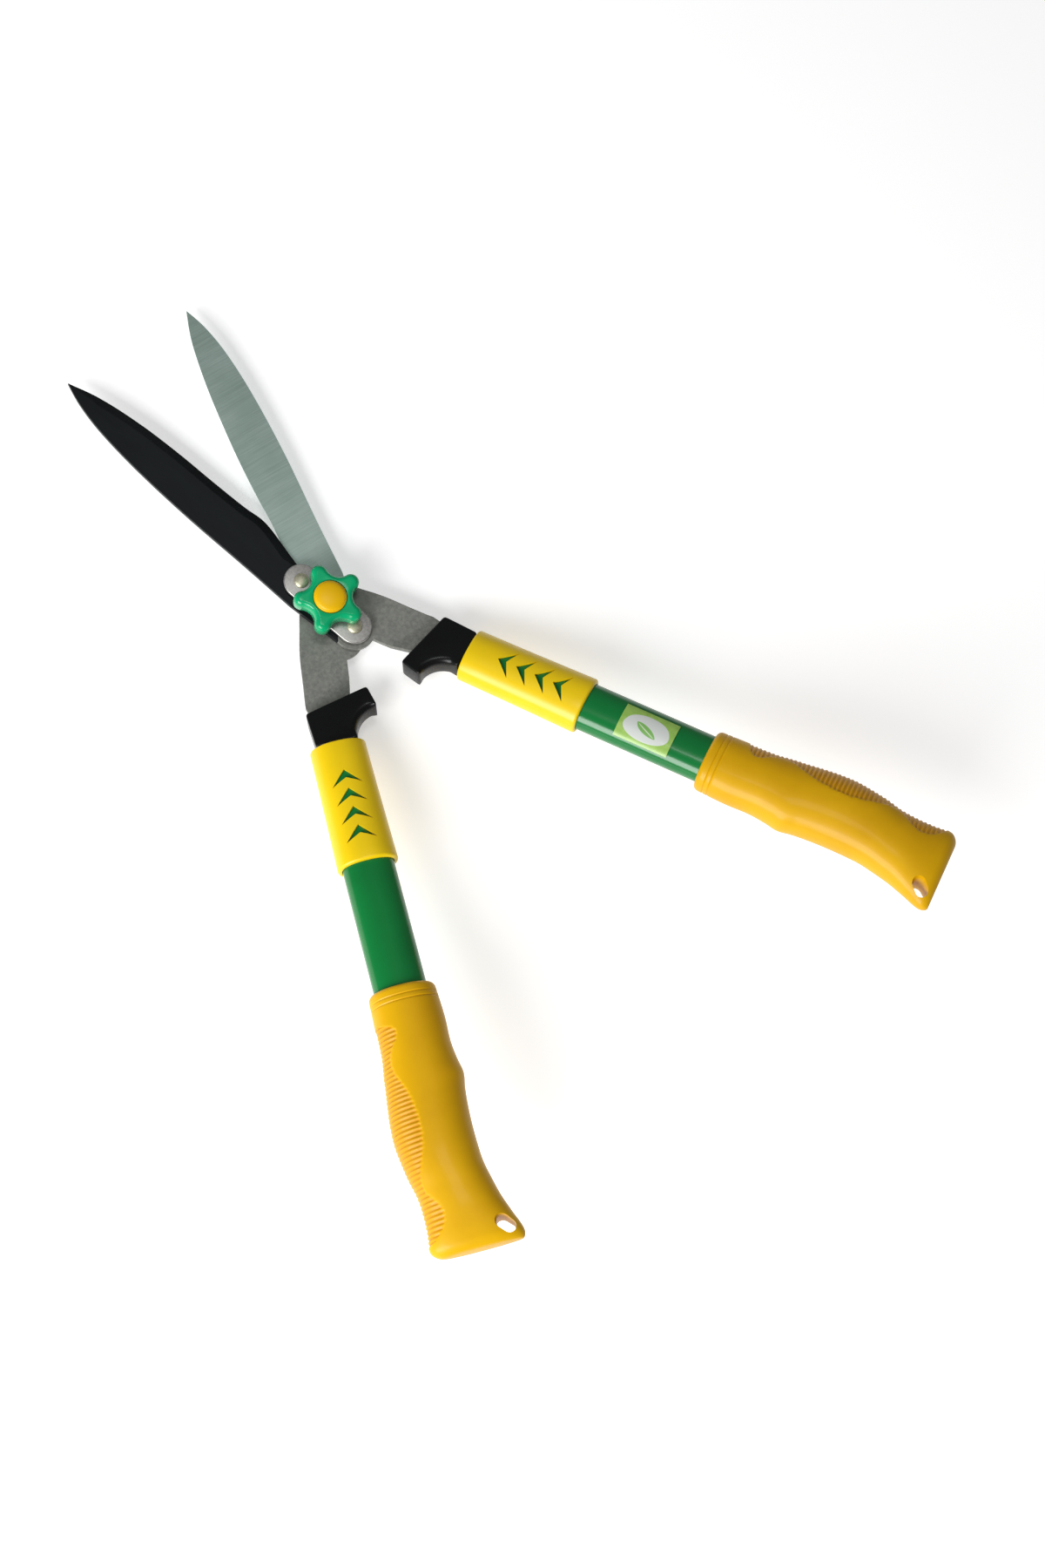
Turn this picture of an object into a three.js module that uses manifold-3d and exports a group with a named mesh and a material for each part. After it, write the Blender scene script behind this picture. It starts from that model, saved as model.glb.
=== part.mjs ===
// Hedge shears: two cranked halves on one adjustable pivot. Units are millimetres and +Z is up.
// The blades point along +Y and the handles along -Y. The pivot axis is the Z axis, and z = 0 is
// the flat underside of the pivot bolt's head. The part is drawn partly open.
import * as THREE from 'three';
import * as BufferGeometryUtils from 'three/addons/utils/BufferGeometryUtils.js';
import Module from 'manifold-3d';

const wasm = await Module();
wasm.setup();

// ---- Driving dimensions ----
const FIT = 0.3; // running gap between neighbouring pieces
const DEG = Math.PI / 180;
const SMOOTH = 24; // sides of a small round piece

const blade = {
  length: 192, // pivot to tip
  thickness: 3,
  spineWidth: 14.8, // blade line to the spine
  edgeWidth: 10.9, // blade line to the cutting edge
  halfOpening: 12.3 * DEG, // each blade's turn from the closed line as drawn
};
const pivot = {
  boltRadius: 4,
  boltChamfer: 0.8,
  headRadius: 8.5,
  headFlatRadius: 5.5,
  headHeight: 4,
  headShoulder: [0.6, 0.4], // where the dome turns: in from the rim, and up as a share
  headRim: 0.25, // straight part of the rim, as a share of the head's height
};
const lowerWasher = { radius: 10, thickness: 1.5 };
const lockSpacer = { inset: 1.6, thickness: 1.2 };
const lockPlate = { length: 59, width: 20, thickness: 1.8, rivetSpan: 39.2 };
const lockRivet = { headRadius: 4.3, headHeight: 1.9, shankRadius: 2.5 };
const knobWasher = { radius: 8.5 };
const knob = {
  lobes: 5,
  radius: 20,
  lobeRadius: 4.6, // each lobe's round end
  notchReach: 13, // knob's centre to the bottom of the hollow between two lobes
  height: 10,
  edgeRound: 2.2,
  firstLobe: 3 * DEG,
};
const knobCap = { radius: 9.2, seatDepth: 1.6, domeHeight: 2.4 };
const nut = { acrossFlats: 13, thickness: 5 };

const crank = {
  distance: 40, // pivot to the line where both tangs bend up
  angle: 15.8 * DEG,
};
const handle = {
  offset: 45, // start of the handle axis: sideways from the pivot
  reach: 28, // and beyond the crank line
  splay: 24.3 * DEG, // handle axis from the shears' mid-line as drawn
  seat: 3.2, // where the tube and its sleeve start, along that axis
};
const tang = {
  heelRadius: 12.4,
  tongueWidth: 14,
  tongueLength: 58,
  shoulder: 6, // the tongue widens this far before the sleeve
  shoulderRun: 8,
  innerShoulder: 4.3,
  outerShoulder: 2.2,
  flare: 0.2,
  innerRun: 15, // the widening stretch before the shoulder, on each side
  outerRun: 9,
  innerSeam: 14.6, // where the tang's sides cross the crank line
  outerSeam: 45,
};
const bolster = {
  thickness: 14.4,
  edgeRound: 1.2,
  collarOuter: 11.6, // handle axis to the collar's outer side
  collarTaper: 1.2, // and how much wider it stands at its front
  collarInner: 12.4,
  length: 18.6,
  bumperFront: 27, // how far the bumper's corners stand before the handle's start
  bumperRear: 14,
  heel: 2, // straight stretch between the hollow behind the bumper and the sleeve
};
const tube = { width: 28.4, height: 18.8, wall: 1.5, sides: 24 };
const plug = { inset: 2, end: 63 };
const tangRivet = { radius: 2.4, station: 12 };
const sleeve = { length: 73.3, frontWall: 1.15, rearWall: 2.2 };
const chevron = {
  count: 4,
  first: 0.25, // first tip and pitch, as shares of the sleeve's length
  pitch: 0.154,
  halfSpan: 8.6,
  sweep: 9.4, // tip to the arms' ends, which run out to nothing
  stroke: 5.2,
};
const grip = { start: 149.5, length: 142, solidTail: 23.5, sides: 28, steps: 20 };
const hangHole = { fromTail: 8, fromInnerEdge: 7.5, radius: 3.7, halfLength: 2, turn: -42 * DEG };
const label = { start: 98, length: 32, from: 62 * DEG, to: 142 * DEG, thickness: 0.4, steps: 8 };

// The grip's skin: place as a share of its length, then how far the skin stands out from the
// tube's outer side, from its inner side, and from its top and bottom
const gripSkin = [
  [0, 3.4, 3.9, 3.8],
  [0.14, 4, 4.7, 4.2],
  [0.25, 4.7, 4.4, 4.6],
  [0.31, 6, 5.4, 4.8],
  [0.36, 6.8, 6.6, 5],
  [0.42, 7.9, 5.3, 5.2],
  [0.5, 9, 4.3, 5.4],
  [0.57, 9.1, 4, 5.4],
  [0.63, 8.1, 4.1, 5.2],
  [0.7, 6.5, 4.7, 4.6],
  [0.76, 4.5, 6.4, 3.8],
  [0.83, 3.7, 8.8, 3],
  [0.895, 3.9, 12, 1.6],
  [0.965, 4.4, 15.6, -0.4],
  [1, 3, 16.2, -2],
];

// Heights above and below the plane where the two blades meet
const bladeBottom = FIT / 2;
const bladeTop = bladeBottom + blade.thickness;
const spacerBottom = bladeTop + FIT;
const plateBottom = spacerBottom + lockSpacer.thickness + FIT;
const plateTop = plateBottom + lockPlate.thickness;
const knobWasherBottom = plateTop + FIT;
const knobWasherTop = knobWasherBottom + lockRivet.headHeight + FIT; // the knob clears the rivets
const knobBottom = knobWasherTop + FIT;
const knobTop = knobBottom + knob.height;
const nutTop = knobBottom + FIT + nut.thickness;
const capBottom = knobTop - knobCap.seatDepth + FIT;
const boltTop = capBottom - 2 * FIT;
const lowerWasherTop = -bladeTop - FIT;
const headTop = lowerWasherTop - lowerWasher.thickness - FIT;
const headBottom = headTop - pivot.headHeight;

// ---- Helpers ----
const point = (x, y) => new THREE.Vector2(x, y);

/** Points of an arc, both ends included. */
function arc(centre, radius, from, to, steps) {
  return Array.from({ length: steps + 1 }, (_, i) => {
    const angle = from + ((to - from) * i) / steps;
    return point(centre.x + radius * Math.cos(angle), centre.y + radius * Math.sin(angle));
  });
}

/** A smooth run of points through a few chosen ones. */
const smooth = (points, steps) => new THREE.SplineCurve(points).getPoints(steps);

/** A circle as a hole path. */
const circlePath = (centre, radius, sides = SMOOTH) =>
  new THREE.Path(arc(centre, radius, 0, 2 * Math.PI, sides).slice(0, -1));

/** A flat plate of an outline, from one height to another, with an optional rounded edge. */
function plate(outline, bottom, top, { holes = [], round = 0, roundSteps = 2 } = {}) {
  const shape = new THREE.Shape(outline);
  shape.holes.push(...holes);
  const geometry = new THREE.ExtrudeGeometry(shape, {
    depth: top - bottom - 2 * round,
    bevelEnabled: round > 0,
    bevelSize: round,
    bevelOffset: -round,
    bevelThickness: round,
    bevelSegments: roundSteps,
    steps: 1,
  });
  return geometry.translate(0, 0, bottom + round);
}

/** A solid of revolution about Z from [radius, height] pairs that start and end on the axis. */
function turned(profile, sides = SMOOTH) {
  const points = profile.map(([radius, height]) => point(radius, height));
  return new THREE.LatheGeometry(points, sides).rotateX(Math.PI / 2);
}

/** A flat ring about Z, cut from a disc. */
function ring(radius, bore, bottom, top) {
  const disc = arc(point(0, 0), radius, 0, 2 * Math.PI, SMOOTH).slice(0, -1);
  return plate(disc, bottom, top, { holes: [circlePath(point(0, 0), bore)] });
}

/** Moves every vertex of a geometry by a function of its place. */
function warped(geometry, move) {
  const position = geometry.attributes.position;
  const vertex = new THREE.Vector3();
  for (let i = 0; i < position.count; i += 1) {
    vertex.fromBufferAttribute(position, i);
    move(vertex);
    position.setXYZ(i, vertex.x, vertex.y, vertex.z);
  }
  return geometry;
}

/** The same geometry mirrored across its own XZ plane, with its faces still pointing out. */
function mirrored(geometry) {
  const source = geometry.index ? geometry.toNonIndexed() : geometry.clone();
  source.deleteAttribute('normal');
  source.deleteAttribute('uv');
  const position = source.attributes.position;
  const flipped = new Float32Array(position.array.length);
  for (let face = 0; face < position.count; face += 3) {
    [0, 2, 1].forEach((from, to) => {
      const vertex = new THREE.Vector3().fromBufferAttribute(position, face + from);
      flipped.set([vertex.x, -vertex.y, vertex.z], 3 * (face + to));
    });
  }
  return new THREE.BufferGeometry().setAttribute('position', new THREE.BufferAttribute(flipped, 3));
}

/** A closed geometry as a manifold-3d solid. */
function solid(geometry) {
  const bare = geometry.clone();
  bare.deleteAttribute('normal');
  bare.deleteAttribute('uv');
  const merged = BufferGeometryUtils.mergeVertices(bare, 1e-4);
  return new wasm.Manifold(new wasm.Mesh({
    numProp: 3,
    vertProperties: new Float32Array(merged.attributes.position.array),
    triVerts: new Uint32Array(merged.index.array),
  }));
}

/** A manifold-3d solid as a geometry. */
function geometryOf(body) {
  const mesh = body.getMesh();
  const geometry = new THREE.BufferGeometry();
  geometry.setAttribute('position', new THREE.BufferAttribute(mesh.vertProperties, 3));
  geometry.setIndex(new THREE.BufferAttribute(mesh.triVerts, 1));
  return geometry;
}

/** A geometry with others cut out of it. */
const cut = (base, ...tools) =>
  geometryOf(tools.reduce((body, tool) => body.subtract(solid(tool)), solid(base)));

// ---- Materials ----
const finish = (color, roughness, metalness) =>
  new THREE.MeshStandardMaterial({ color, roughness, metalness });

const blackCoat = () => finish(0x17191b, 0.45, 0.2);
const brushedSteel = () => finish(0x8fa39b, 0.35, 0.9);
const plainSteel = () => finish(0x8a8a86, 0.45, 0.85);
const brassSteel = () => finish(0xb9b08c, 0.4, 0.8);
const blackPlastic = () => finish(0x131414, 0.4, 0);
const yellowPlastic = () => finish(0xf5c800, 0.35, 0);
const greenPaint = () => finish(0x0f7a36, 0.25, 0.1);
const orangeGrip = () => finish(0xe8a50c, 0.5, 0);
const greenPlastic = () => finish(0x00a868, 0.3, 0);

const shears = new THREE.Group();
shears.position.z = -headBottom;

/** Adds one named piece to a group. */
function add(group, name, geometry, material) {
  const mesh = new THREE.Mesh(geometry, material);
  mesh.name = name;
  group.add(mesh);
}

// ---- Handle frame ----
// Each handle has its own frame: +X runs from the bolster to the tail, +Y points away from the
// shears' mid-line on the right-hand side, and +Z is the handle's top.

/** The group that carries one handle. side is 1 for the right and -1 for the left. */
function handleGroup(side) {
  const bent = new THREE.Group();
  bent.position.y = -crank.distance;
  bent.rotation.x = -crank.angle;
  shears.add(bent);
  const group = new THREE.Group();
  group.position.set(side * handle.offset, -handle.reach, 0);
  group.rotation.z = side * handle.splay - Math.PI / 2;
  bent.add(group);
  return group;
}

/** A place in the right handle's frame, laid flat into the drawn frame before the tang is bent. */
function flatFromHandle(along, outward) {
  const x = handle.offset + along * Math.sin(handle.splay) + outward * Math.cos(handle.splay);
  const beyond = handle.reach + along * Math.cos(handle.splay) - outward * Math.sin(handle.splay);
  return point(x, -crank.distance - beyond);
}

/** A place beside the right half's blade, whose own line is turned to the left of +Y. */
function flatFromBlade(x, y) {
  return point(x, y).rotateAround(point(0, 0), blade.halfOpening);
}

/** Pieces are drawn for the right-hand side, and the left-hand ones are their mirror images. */
const handed = (geometry, side) => (side > 0 ? geometry : mirrored(geometry));

// ---- Blades with their tangs ----

/** The cutting edge from root to tip, beside the blade's own line: a shallow wave. */
function cuttingEdge(rootWave, belly) {
  const w = blade.edgeWidth + belly;
  const l = blade.length;
  return smooth([
    point(0.5 * w, 0.13 * l),
    point(0.8 * w, 0.2 * l),
    point(w + rootWave, 0.3 * l),
    point(w + 0.4 * rootWave, 0.38 * l),
    point(w, 0.5 * l),
    point(0.97 * w, 0.62 * l),
    point(0.84 * w, 0.76 * l),
    point(0.52 * w, 0.9 * l),
    point(0, l),
  ], 34);
}

/** The spine from tip to heel. */
function spine(belly) {
  const w = blade.spineWidth - belly;
  const l = blade.length;
  return smooth([
    point(0, l),
    point(-0.36 * w, 0.93 * l),
    point(-0.66 * w, 0.83 * l),
    point(-0.88 * w, 0.68 * l),
    point(-w, 0.48 * l),
    point(-1.01 * w, 0.25 * l),
    point(-1.05 * w, 0.08 * l),
  ], 24);
}

/** The tang's outline inside the bolster, inner side first, in the handle's frame. */
function tangInBolster(grow, innerRun, outerRun) {
  const half = tang.tongueWidth / 2 + grow;
  const neck = grow - tang.shoulder;
  const wide = grow - tang.shoulder - tang.shoulderRun;
  const inner = half + tang.innerShoulder;
  const outer = half + tang.outerShoulder;
  return [
    point(wide - innerRun, -inner - tang.flare * innerRun),
    point(wide, -inner),
    point(neck, -half),
    point(tang.tongueLength + grow, -half),
    point(tang.tongueLength + grow, half),
    point(neck, half),
    point(wide, outer),
    point(wide - outerRun, outer + tang.flare * outerRun),
  ];
}

/** The right-hand half's flat part: blade, heel and the tang as far as the crank line. */
function bladeOutline(rootWave, belly) {
  const d = crank.distance;
  const heel = point(0, -lockPlate.rivetSpan / 2);
  const heelArc = arc(heel, tang.heelRadius, 0.96 * Math.PI, 1.56 * Math.PI, 10);
  const outerTang = [
    point(tang.outerSeam, -d),
    point(0.95 * d, -0.71 * d),
    point(0.73 * d, -0.34 * d),
    point(0.51 * d, -0.04 * d),
    point(0.3 * d, 0.24 * d),
  ];
  return [
    ...spine(belly).map((p) => flatFromBlade(p.x, p.y)),
    ...heelArc.map((p) => flatFromBlade(p.x, p.y)),
    point(tang.innerSeam, -d),
    ...smooth(outerTang, 10),
    ...cuttingEdge(rootWave, belly).slice(0, -1).map((p) => flatFromBlade(p.x, p.y)),
  ];
}

/** The tang beyond the crank line, still flat: it runs through the bolster into the tube. */
const tangOutline = () => [
  point(tang.innerSeam, -crank.distance),
  ...tangInBolster(0, tang.innerRun, tang.outerRun).map((p) => flatFromHandle(p.x, p.y)),
  point(tang.outerSeam, -crank.distance),
];

/** Bends what lies beyond the crank line up, and mitres the seam between the two stretches. */
function bend(vertex) {
  const beyond = vertex.y + crank.distance;
  if (Math.abs(beyond) < 1e-3) {
    vertex.y = -crank.distance + vertex.z * Math.tan(crank.angle / 2);
  } else if (beyond < 0) {
    const { z } = vertex;
    vertex.y = -crank.distance + beyond * Math.cos(crank.angle) + z * Math.sin(crank.angle);
    vertex.z = z * Math.cos(crank.angle) - beyond * Math.sin(crank.angle);
  }
}

/** One half's steel, from blade tip to the end of the tongue, in one piece. */
function bladeAndTang({ rootWave, belly, bottom, holes }) {
  const top = bottom + blade.thickness;
  const flat = warped(plate(bladeOutline(rootWave, belly), bottom, top, { holes }), bend);
  const bent = warped(plate(tangOutline(), bottom, top, { holes: [tongueHole()] }), bend);
  return geometryOf(solid(flat).add(solid(bent)));
}

const onBladeLine = (y) => flatFromBlade(0, y);
const pivotHole = () => circlePath(point(0, 0), pivot.boltRadius + FIT);
const rivetHole = (y) => circlePath(onBladeLine(y), lockRivet.shankRadius + FIT, 16);
const rivetPlaces = [lockPlate.rivetSpan / 2, -lockPlate.rivetSpan / 2];
const tongueHole = () =>
  circlePath(flatFromHandle(tangRivet.station, 0), tangRivet.radius + FIT, 16);

const upperBlade = bladeAndTang({
  rootWave: 1.8,
  belly: 1.2,
  bottom: bladeBottom,
  holes: [pivotHole(), ...rivetPlaces.map(rivetHole)],
});
add(shears, 'upper_blade', upperBlade, blackCoat());

// The lower half is drawn as a right-hand one, mirrored, and laid under the upper half.
const lowerBlade = bladeAndTang({
  rootWave: -1.6,
  belly: -1.2,
  bottom: -bladeTop,
  holes: [pivotHole()],
});
const acrossX = mirrored(lowerBlade.rotateZ(Math.PI / 2)).rotateZ(-Math.PI / 2);
add(shears, 'lower_blade', acrossX, brushedSteel());

// ---- Pivot ----
add(shears, 'pivot_bolt', turned([
  [0, headBottom],
  [pivot.headFlatRadius, headBottom],
  [pivot.headRadius - pivot.headShoulder[0], headBottom + pivot.headShoulder[1] * pivot.headHeight],
  [pivot.headRadius, headTop - pivot.headRim * pivot.headHeight],
  [pivot.headRadius, headTop],
  [pivot.boltRadius, headTop],
  [pivot.boltRadius, boltTop - pivot.boltChamfer],
  [pivot.boltRadius - pivot.boltChamfer, boltTop],
  [0, boltTop],
]), plainSteel());

add(shears, 'lower_washer', ring(
  lowerWasher.radius, pivot.boltRadius + FIT, lowerWasherTop - lowerWasher.thickness, lowerWasherTop,
), plainSteel());

/** A plate with round ends along the upper blade's line, bored for the bolt and two rivets. */
function lockShape(inset, bottom, top, round) {
  const radius = lockPlate.width / 2 - inset;
  const end = (lockPlate.length - lockPlate.width) / 2;
  const outline = [
    ...arc(point(0, end), radius, 0, Math.PI, 12),
    ...arc(point(0, -end), radius, Math.PI, 2 * Math.PI, 12),
  ];
  const holes = [
    circlePath(point(0, 0), pivot.boltRadius + FIT),
    ...rivetPlaces.map((y) => circlePath(point(0, y), lockRivet.shankRadius + FIT, 16)),
  ];
  return plate(outline, bottom, top, { holes, round, roundSteps: 1 }).rotateZ(blade.halfOpening);
}

add(shears, 'lock_spacer',
  lockShape(lockSpacer.inset, spacerBottom, plateBottom - FIT, 0), blackPlastic());
add(shears, 'lock_plate', lockShape(0, plateBottom, plateTop, 0.3), plainSteel());

/** A domed rivet through the lock plate, its spacer and the upper blade. */
function lockRivetAt(y) {
  const seat = plateTop + FIT;
  const place = onBladeLine(y);
  const { headRadius, headHeight, shankRadius } = lockRivet;
  const dome = arc(point(0, seat), 1, 0, Math.PI / 2, 5)
    .map((p) => [headRadius * p.x, seat + headHeight * (p.y - seat)]);
  const profile = [[0, bladeBottom + FIT], [shankRadius, bladeBottom + FIT], [shankRadius, seat]];
  return turned([...profile, ...dome], 16).translate(place.x, place.y, 0);
}

add(shears, 'lock_rivet_front', lockRivetAt(rivetPlaces[0]), brassSteel());
add(shears, 'lock_rivet_rear', lockRivetAt(rivetPlaces[1]), brassSteel());

// ---- Tension knob ----
add(shears, 'knob_washer', ring(
  knobWasher.radius, pivot.boltRadius + FIT, knobWasherBottom, knobWasherTop,
), plainSteel());

const hexagon = (flats) => arc(point(0, 0), flats / 2 / Math.cos(30 * DEG), 0, 2 * Math.PI, 6).slice(0, -1);

/** The knob's outline: round lobes joined by hollows that run smoothly into them. */
function knobOutline() {
  const { lobeRadius, notchReach } = knob;
  const reach = knob.radius - lobeRadius;
  const halfPitch = Math.PI / knob.lobes;
  const across = reach * Math.cos(halfPitch);
  const apart = reach ** 2 + notchReach ** 2 - 2 * notchReach * across - lobeRadius ** 2;
  const notchRadius = apart / 2 / (lobeRadius + across - notchReach);
  const notchCentre = notchReach + notchRadius;
  const joinTurn = Math.atan2(
    notchCentre * Math.sin(halfPitch), notchCentre * Math.cos(halfPitch) - reach,
  );
  const notchTurn = joinTurn - halfPitch;
  return Array.from({ length: knob.lobes }, (_, i) => {
    const turn = knob.firstLobe + 2 * halfPitch * i;
    const lobe = point(reach * Math.cos(turn), reach * Math.sin(turn));
    const next = turn + halfPitch;
    const notch = point(notchCentre * Math.cos(next), notchCentre * Math.sin(next));
    const hollow = arc(notch, notchRadius, next + Math.PI + notchTurn, next + Math.PI - notchTurn, 8);
    return [...arc(lobe, lobeRadius, turn - joinTurn, turn + joinTurn, 8), ...hollow.slice(1, -1)];
  }).flat();
}

/** The five-lobed knob, with a hexagon pocket for its nut and a seat for its cap. */
function knobBody() {
  const body = plate(knobOutline(), knobBottom, knobTop, { round: knob.edgeRound, roundSteps: 3 });
  const pocket = plate(hexagon(nut.acrossFlats + 2 * FIT), knobBottom - 1, nutTop + FIT);
  const bore = turned([
    [0, knobBottom - 1],
    [pivot.boltRadius + FIT, knobBottom - 1],
    [pivot.boltRadius + FIT, knobTop + 1],
    [0, knobTop + 1],
  ]);
  const seat = turned([
    [0, knobTop - knobCap.seatDepth],
    [knobCap.radius + FIT, knobTop - knobCap.seatDepth],
    [knobCap.radius + FIT, knobTop + 1],
    [0, knobTop + 1],
  ], 32);
  return cut(body, pocket, bore, seat);
}

add(shears, 'knob_body', knobBody(), greenPlastic());
add(shears, 'knob_nut', plate(hexagon(nut.acrossFlats), knobBottom + FIT, nutTop, {
  holes: [circlePath(point(0, 0), pivot.boltRadius + FIT)],
}), plainSteel());

const capRim = knobTop + FIT;
add(shears, 'knob_cap', turned([
  [0, capBottom],
  [knobCap.radius, capBottom],
  ...[0, 18, 36, 54, 72, 90].map((turn) => [
    knobCap.radius * Math.cos(turn * DEG),
    capRim + knobCap.domeHeight * Math.sin(turn * DEG),
  ]),
], 32), yellowPlastic());

// ---- Handles ----
/** A point of an oval across the handle axis, flatter on top and below than an ellipse. */
function ovalPoint(halfWidth, halfHeight, angle) {
  const flattened = (value) => Math.sign(value) * Math.abs(value) ** 0.88;
  return point(halfWidth * flattened(Math.cos(angle)), halfHeight * flattened(Math.sin(angle)));
}

const oval = (halfWidth, halfHeight, sides) => Array.from({ length: sides }, (_, i) => (
  ovalPoint(halfWidth, halfHeight, (2 * Math.PI * i) / sides)
));

/** A bar of an outline across the handle axis, from one station to another. */
function bar(outline, start, end, { holes = [], steps = 1 } = {}) {
  const shape = new THREE.Shape(outline);
  shape.holes.push(...holes);
  const options = { depth: end - start, bevelEnabled: false, steps };
  const geometry = new THREE.ExtrudeGeometry(shape, options);
  return warped(geometry, (v) => v.set(v.z + start, v.x, v.y));
}

const tubeOval = (grow, sides = tube.sides) =>
  oval(tube.width / 2 + grow, tube.height / 2 + grow, sides);

/**
 * The bumper's face, as a distance across the handle axis at one place along it. It lies on the
 * line where the two halves meet when the blades close, so the bumpers stop the blades there.
 */
function bumperFace(along) {
  const closing = Math.tan(blade.halfOpening);
  const slope = closing * Math.cos(crank.angle);
  const lean = (closing * Math.sin(crank.angle) * bolster.thickness) / 2;
  const meeting = closing * crank.distance + slope * (handle.reach + along * Math.cos(handle.splay));
  const side = handle.offset + along * Math.sin(handle.splay);
  return (meeting + FIT / 2 + lean - side) / (Math.cos(handle.splay) + slope * Math.sin(handle.splay));
}

/** The moulded collar between tang and tube, with the bumper arm on its inner side. */
function bolsterGeometry(tangMiddle) {
  const { collarOuter, collarInner, bumperFront, bumperRear, heel } = bolster;
  const faceRear = bumperFace(-bumperRear);
  const drop = -faceRear - collarInner;
  const end = handle.seat - FIT;
  const hollowEnd = end - heel;
  const hollowCentre = (hollowEnd ** 2 + drop ** 2 - bumperRear ** 2) / 2 / (bumperRear + hollowEnd);
  const hollowRadius = hollowCentre + bumperRear;
  const hollowTurn = Math.acos((hollowEnd - hollowCentre) / hollowRadius);
  const outline = [
    point(end, collarOuter),
    point(-bolster.length, collarOuter + bolster.collarTaper),
    point(-bumperFront, bumperFace(-bumperFront)),
    ...arc(point(hollowCentre, faceRear), hollowRadius, Math.PI, hollowTurn, 8),
    point(end, -collarInner),
  ];
  const rise = bolster.thickness / 2;
  const body = plate(outline, -rise, rise, { round: bolster.edgeRound });
  const slotHalf = blade.thickness / 2 + FIT;
  const slotRun = 2 * bolster.length;
  const slotOutline = tangInBolster(FIT, slotRun, slotRun);
  const slot = plate(slotOutline, tangMiddle - slotHalf, tangMiddle + slotHalf);
  return cut(body, slot);
}

/** A round bar across the handle at the tang's rivet. */
const rivetBar = (radius, height) => new THREE.CylinderGeometry(radius, radius, height, 16)
  .rotateX(Math.PI / 2)
  .translate(tangRivet.station, 0, 0);

const rivetGeometry = () => rivetBar(tangRivet.radius, tube.height - 2 * FIT);
const rivetBore = () => rivetBar(tangRivet.radius + FIT, 2 * tube.height);

/** The moulded plug that holds the tang's tongue in the tube. */
function plugGeometry(tangMiddle) {
  const body = bar(tubeOval(-tube.wall - FIT), handle.seat + plug.inset, plug.end);
  const slot = new THREE.BoxGeometry(
    2 * tang.tongueLength + 2 * FIT,
    tang.tongueWidth + 2 * FIT,
    blade.thickness + 2 * FIT,
  ).translate(0, 0, tangMiddle);
  return cut(body, slot, rivetBore());
}

const tubeEnd = grip.start + grip.length - grip.solidTail;

function tubeGeometry() {
  const bore = new THREE.Path(tubeOval(-tube.wall));
  return cut(bar(tubeOval(0), handle.seat, tubeEnd, { holes: [bore] }), rivetBore());
}

/** One chevron, pointing at the bolster, as a cutter from one height to another. */
function chevronCutter(tip, bottom, top) {
  const { halfSpan, sweep, stroke } = chevron;
  return plate([
    point(tip, 0),
    point(tip + sweep, halfSpan),
    point(tip + stroke, 0),
    point(tip + sweep, -halfSpan),
  ], bottom, top);
}

/** The yellow sleeve over the tube: thin at the bolster, thicker at its rear end, with chevrons. */
function sleeveGeometry() {
  const front = FIT + sleeve.frontWall;
  const swell = (sleeve.rearWall - sleeve.frontWall) / sleeve.length;
  const end = handle.seat + sleeve.length;
  const outside = warped(bar(tubeOval(front), handle.seat, end), (v) => {
    const grow = swell * (v.x - handle.seat);
    v.y *= 1 + grow / (tube.width / 2 + front);
    v.z *= 1 + grow / (tube.height / 2 + front);
  });
  const inside = bar(tubeOval(FIT), handle.seat - 1, end + 1);
  const windows = Array.from({ length: chevron.count }, (_, i) => {
    const tip = handle.seat + (chevron.first + i * chevron.pitch) * sleeve.length;
    return [
      chevronCutter(tip, tube.height / 4, tube.height),
      chevronCutter(tip, -tube.height, -tube.height / 4),
    ];
  });
  return cut(outside, inside, ...windows.flat());
}

/** The outer reach, inner reach and half height of the grip at a share of its length. */
function gripReach(share) {
  const next = Math.max(1, gripSkin.findIndex(([place]) => place >= share));
  const [before, after] = [gripSkin[next - 1], gripSkin[next]];
  const part = (share - before[0]) / (after[0] - before[0]);
  const skin = [1, 2, 3].map((i) => before[i] + part * (after[i] - before[i]));
  return [tube.width / 2 + skin[0], tube.width / 2 + skin[1], tube.height / 2 + skin[2]];
}

/** A round-ended hole through the tail, turned towards its inner corner. */
function hangHoleCutter() {
  const { radius, halfLength, turn, fromTail, fromInnerEdge } = hangHole;
  const outline = [
    ...arc(point(halfLength, 0), radius, -Math.PI / 2, Math.PI / 2, 8),
    ...arc(point(-halfLength, 0), radius, Math.PI / 2, 1.5 * Math.PI, 8),
  ];
  const innerReach = gripReach(1 - fromTail / grip.length)[1];
  return plate(outline, -tube.height, tube.height)
    .rotateZ(turn)
    .translate(grip.start + grip.length - fromTail, fromInnerEdge - innerReach, 0);
}

function gripGeometry() {
  const raw = bar(oval(1, 1, grip.sides), 0, 1, { steps: grip.steps });
  const body = warped(raw, (v) => {
    const [outer, inner, high] = gripReach(v.x);
    const middle = (outer - inner) / 2;
    const half = (outer + inner) / 2;
    v.set(grip.start + v.x * grip.length, middle + v.y * half, v.z * high);
  });
  const bore = bar(tubeOval(FIT), grip.start - 1, tubeEnd + FIT);
  return cut(body, bore, hangHoleCutter());
}

/** A thin sticker wrapped over the top of the tube. */
function labelGeometry() {
  const turns = Array.from({ length: label.steps + 1 }, (_, i) => (
    label.from + ((label.to - label.from) * i) / label.steps
  ));
  const strip = (grow) => turns.map((turn) => (
    ovalPoint(tube.width / 2 + grow, tube.height / 2 + grow, turn)
  ));
  const outline = [...strip(FIT + label.thickness), ...strip(FIT).reverse()];
  return bar(outline, label.start, label.start + label.length);
}

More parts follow.
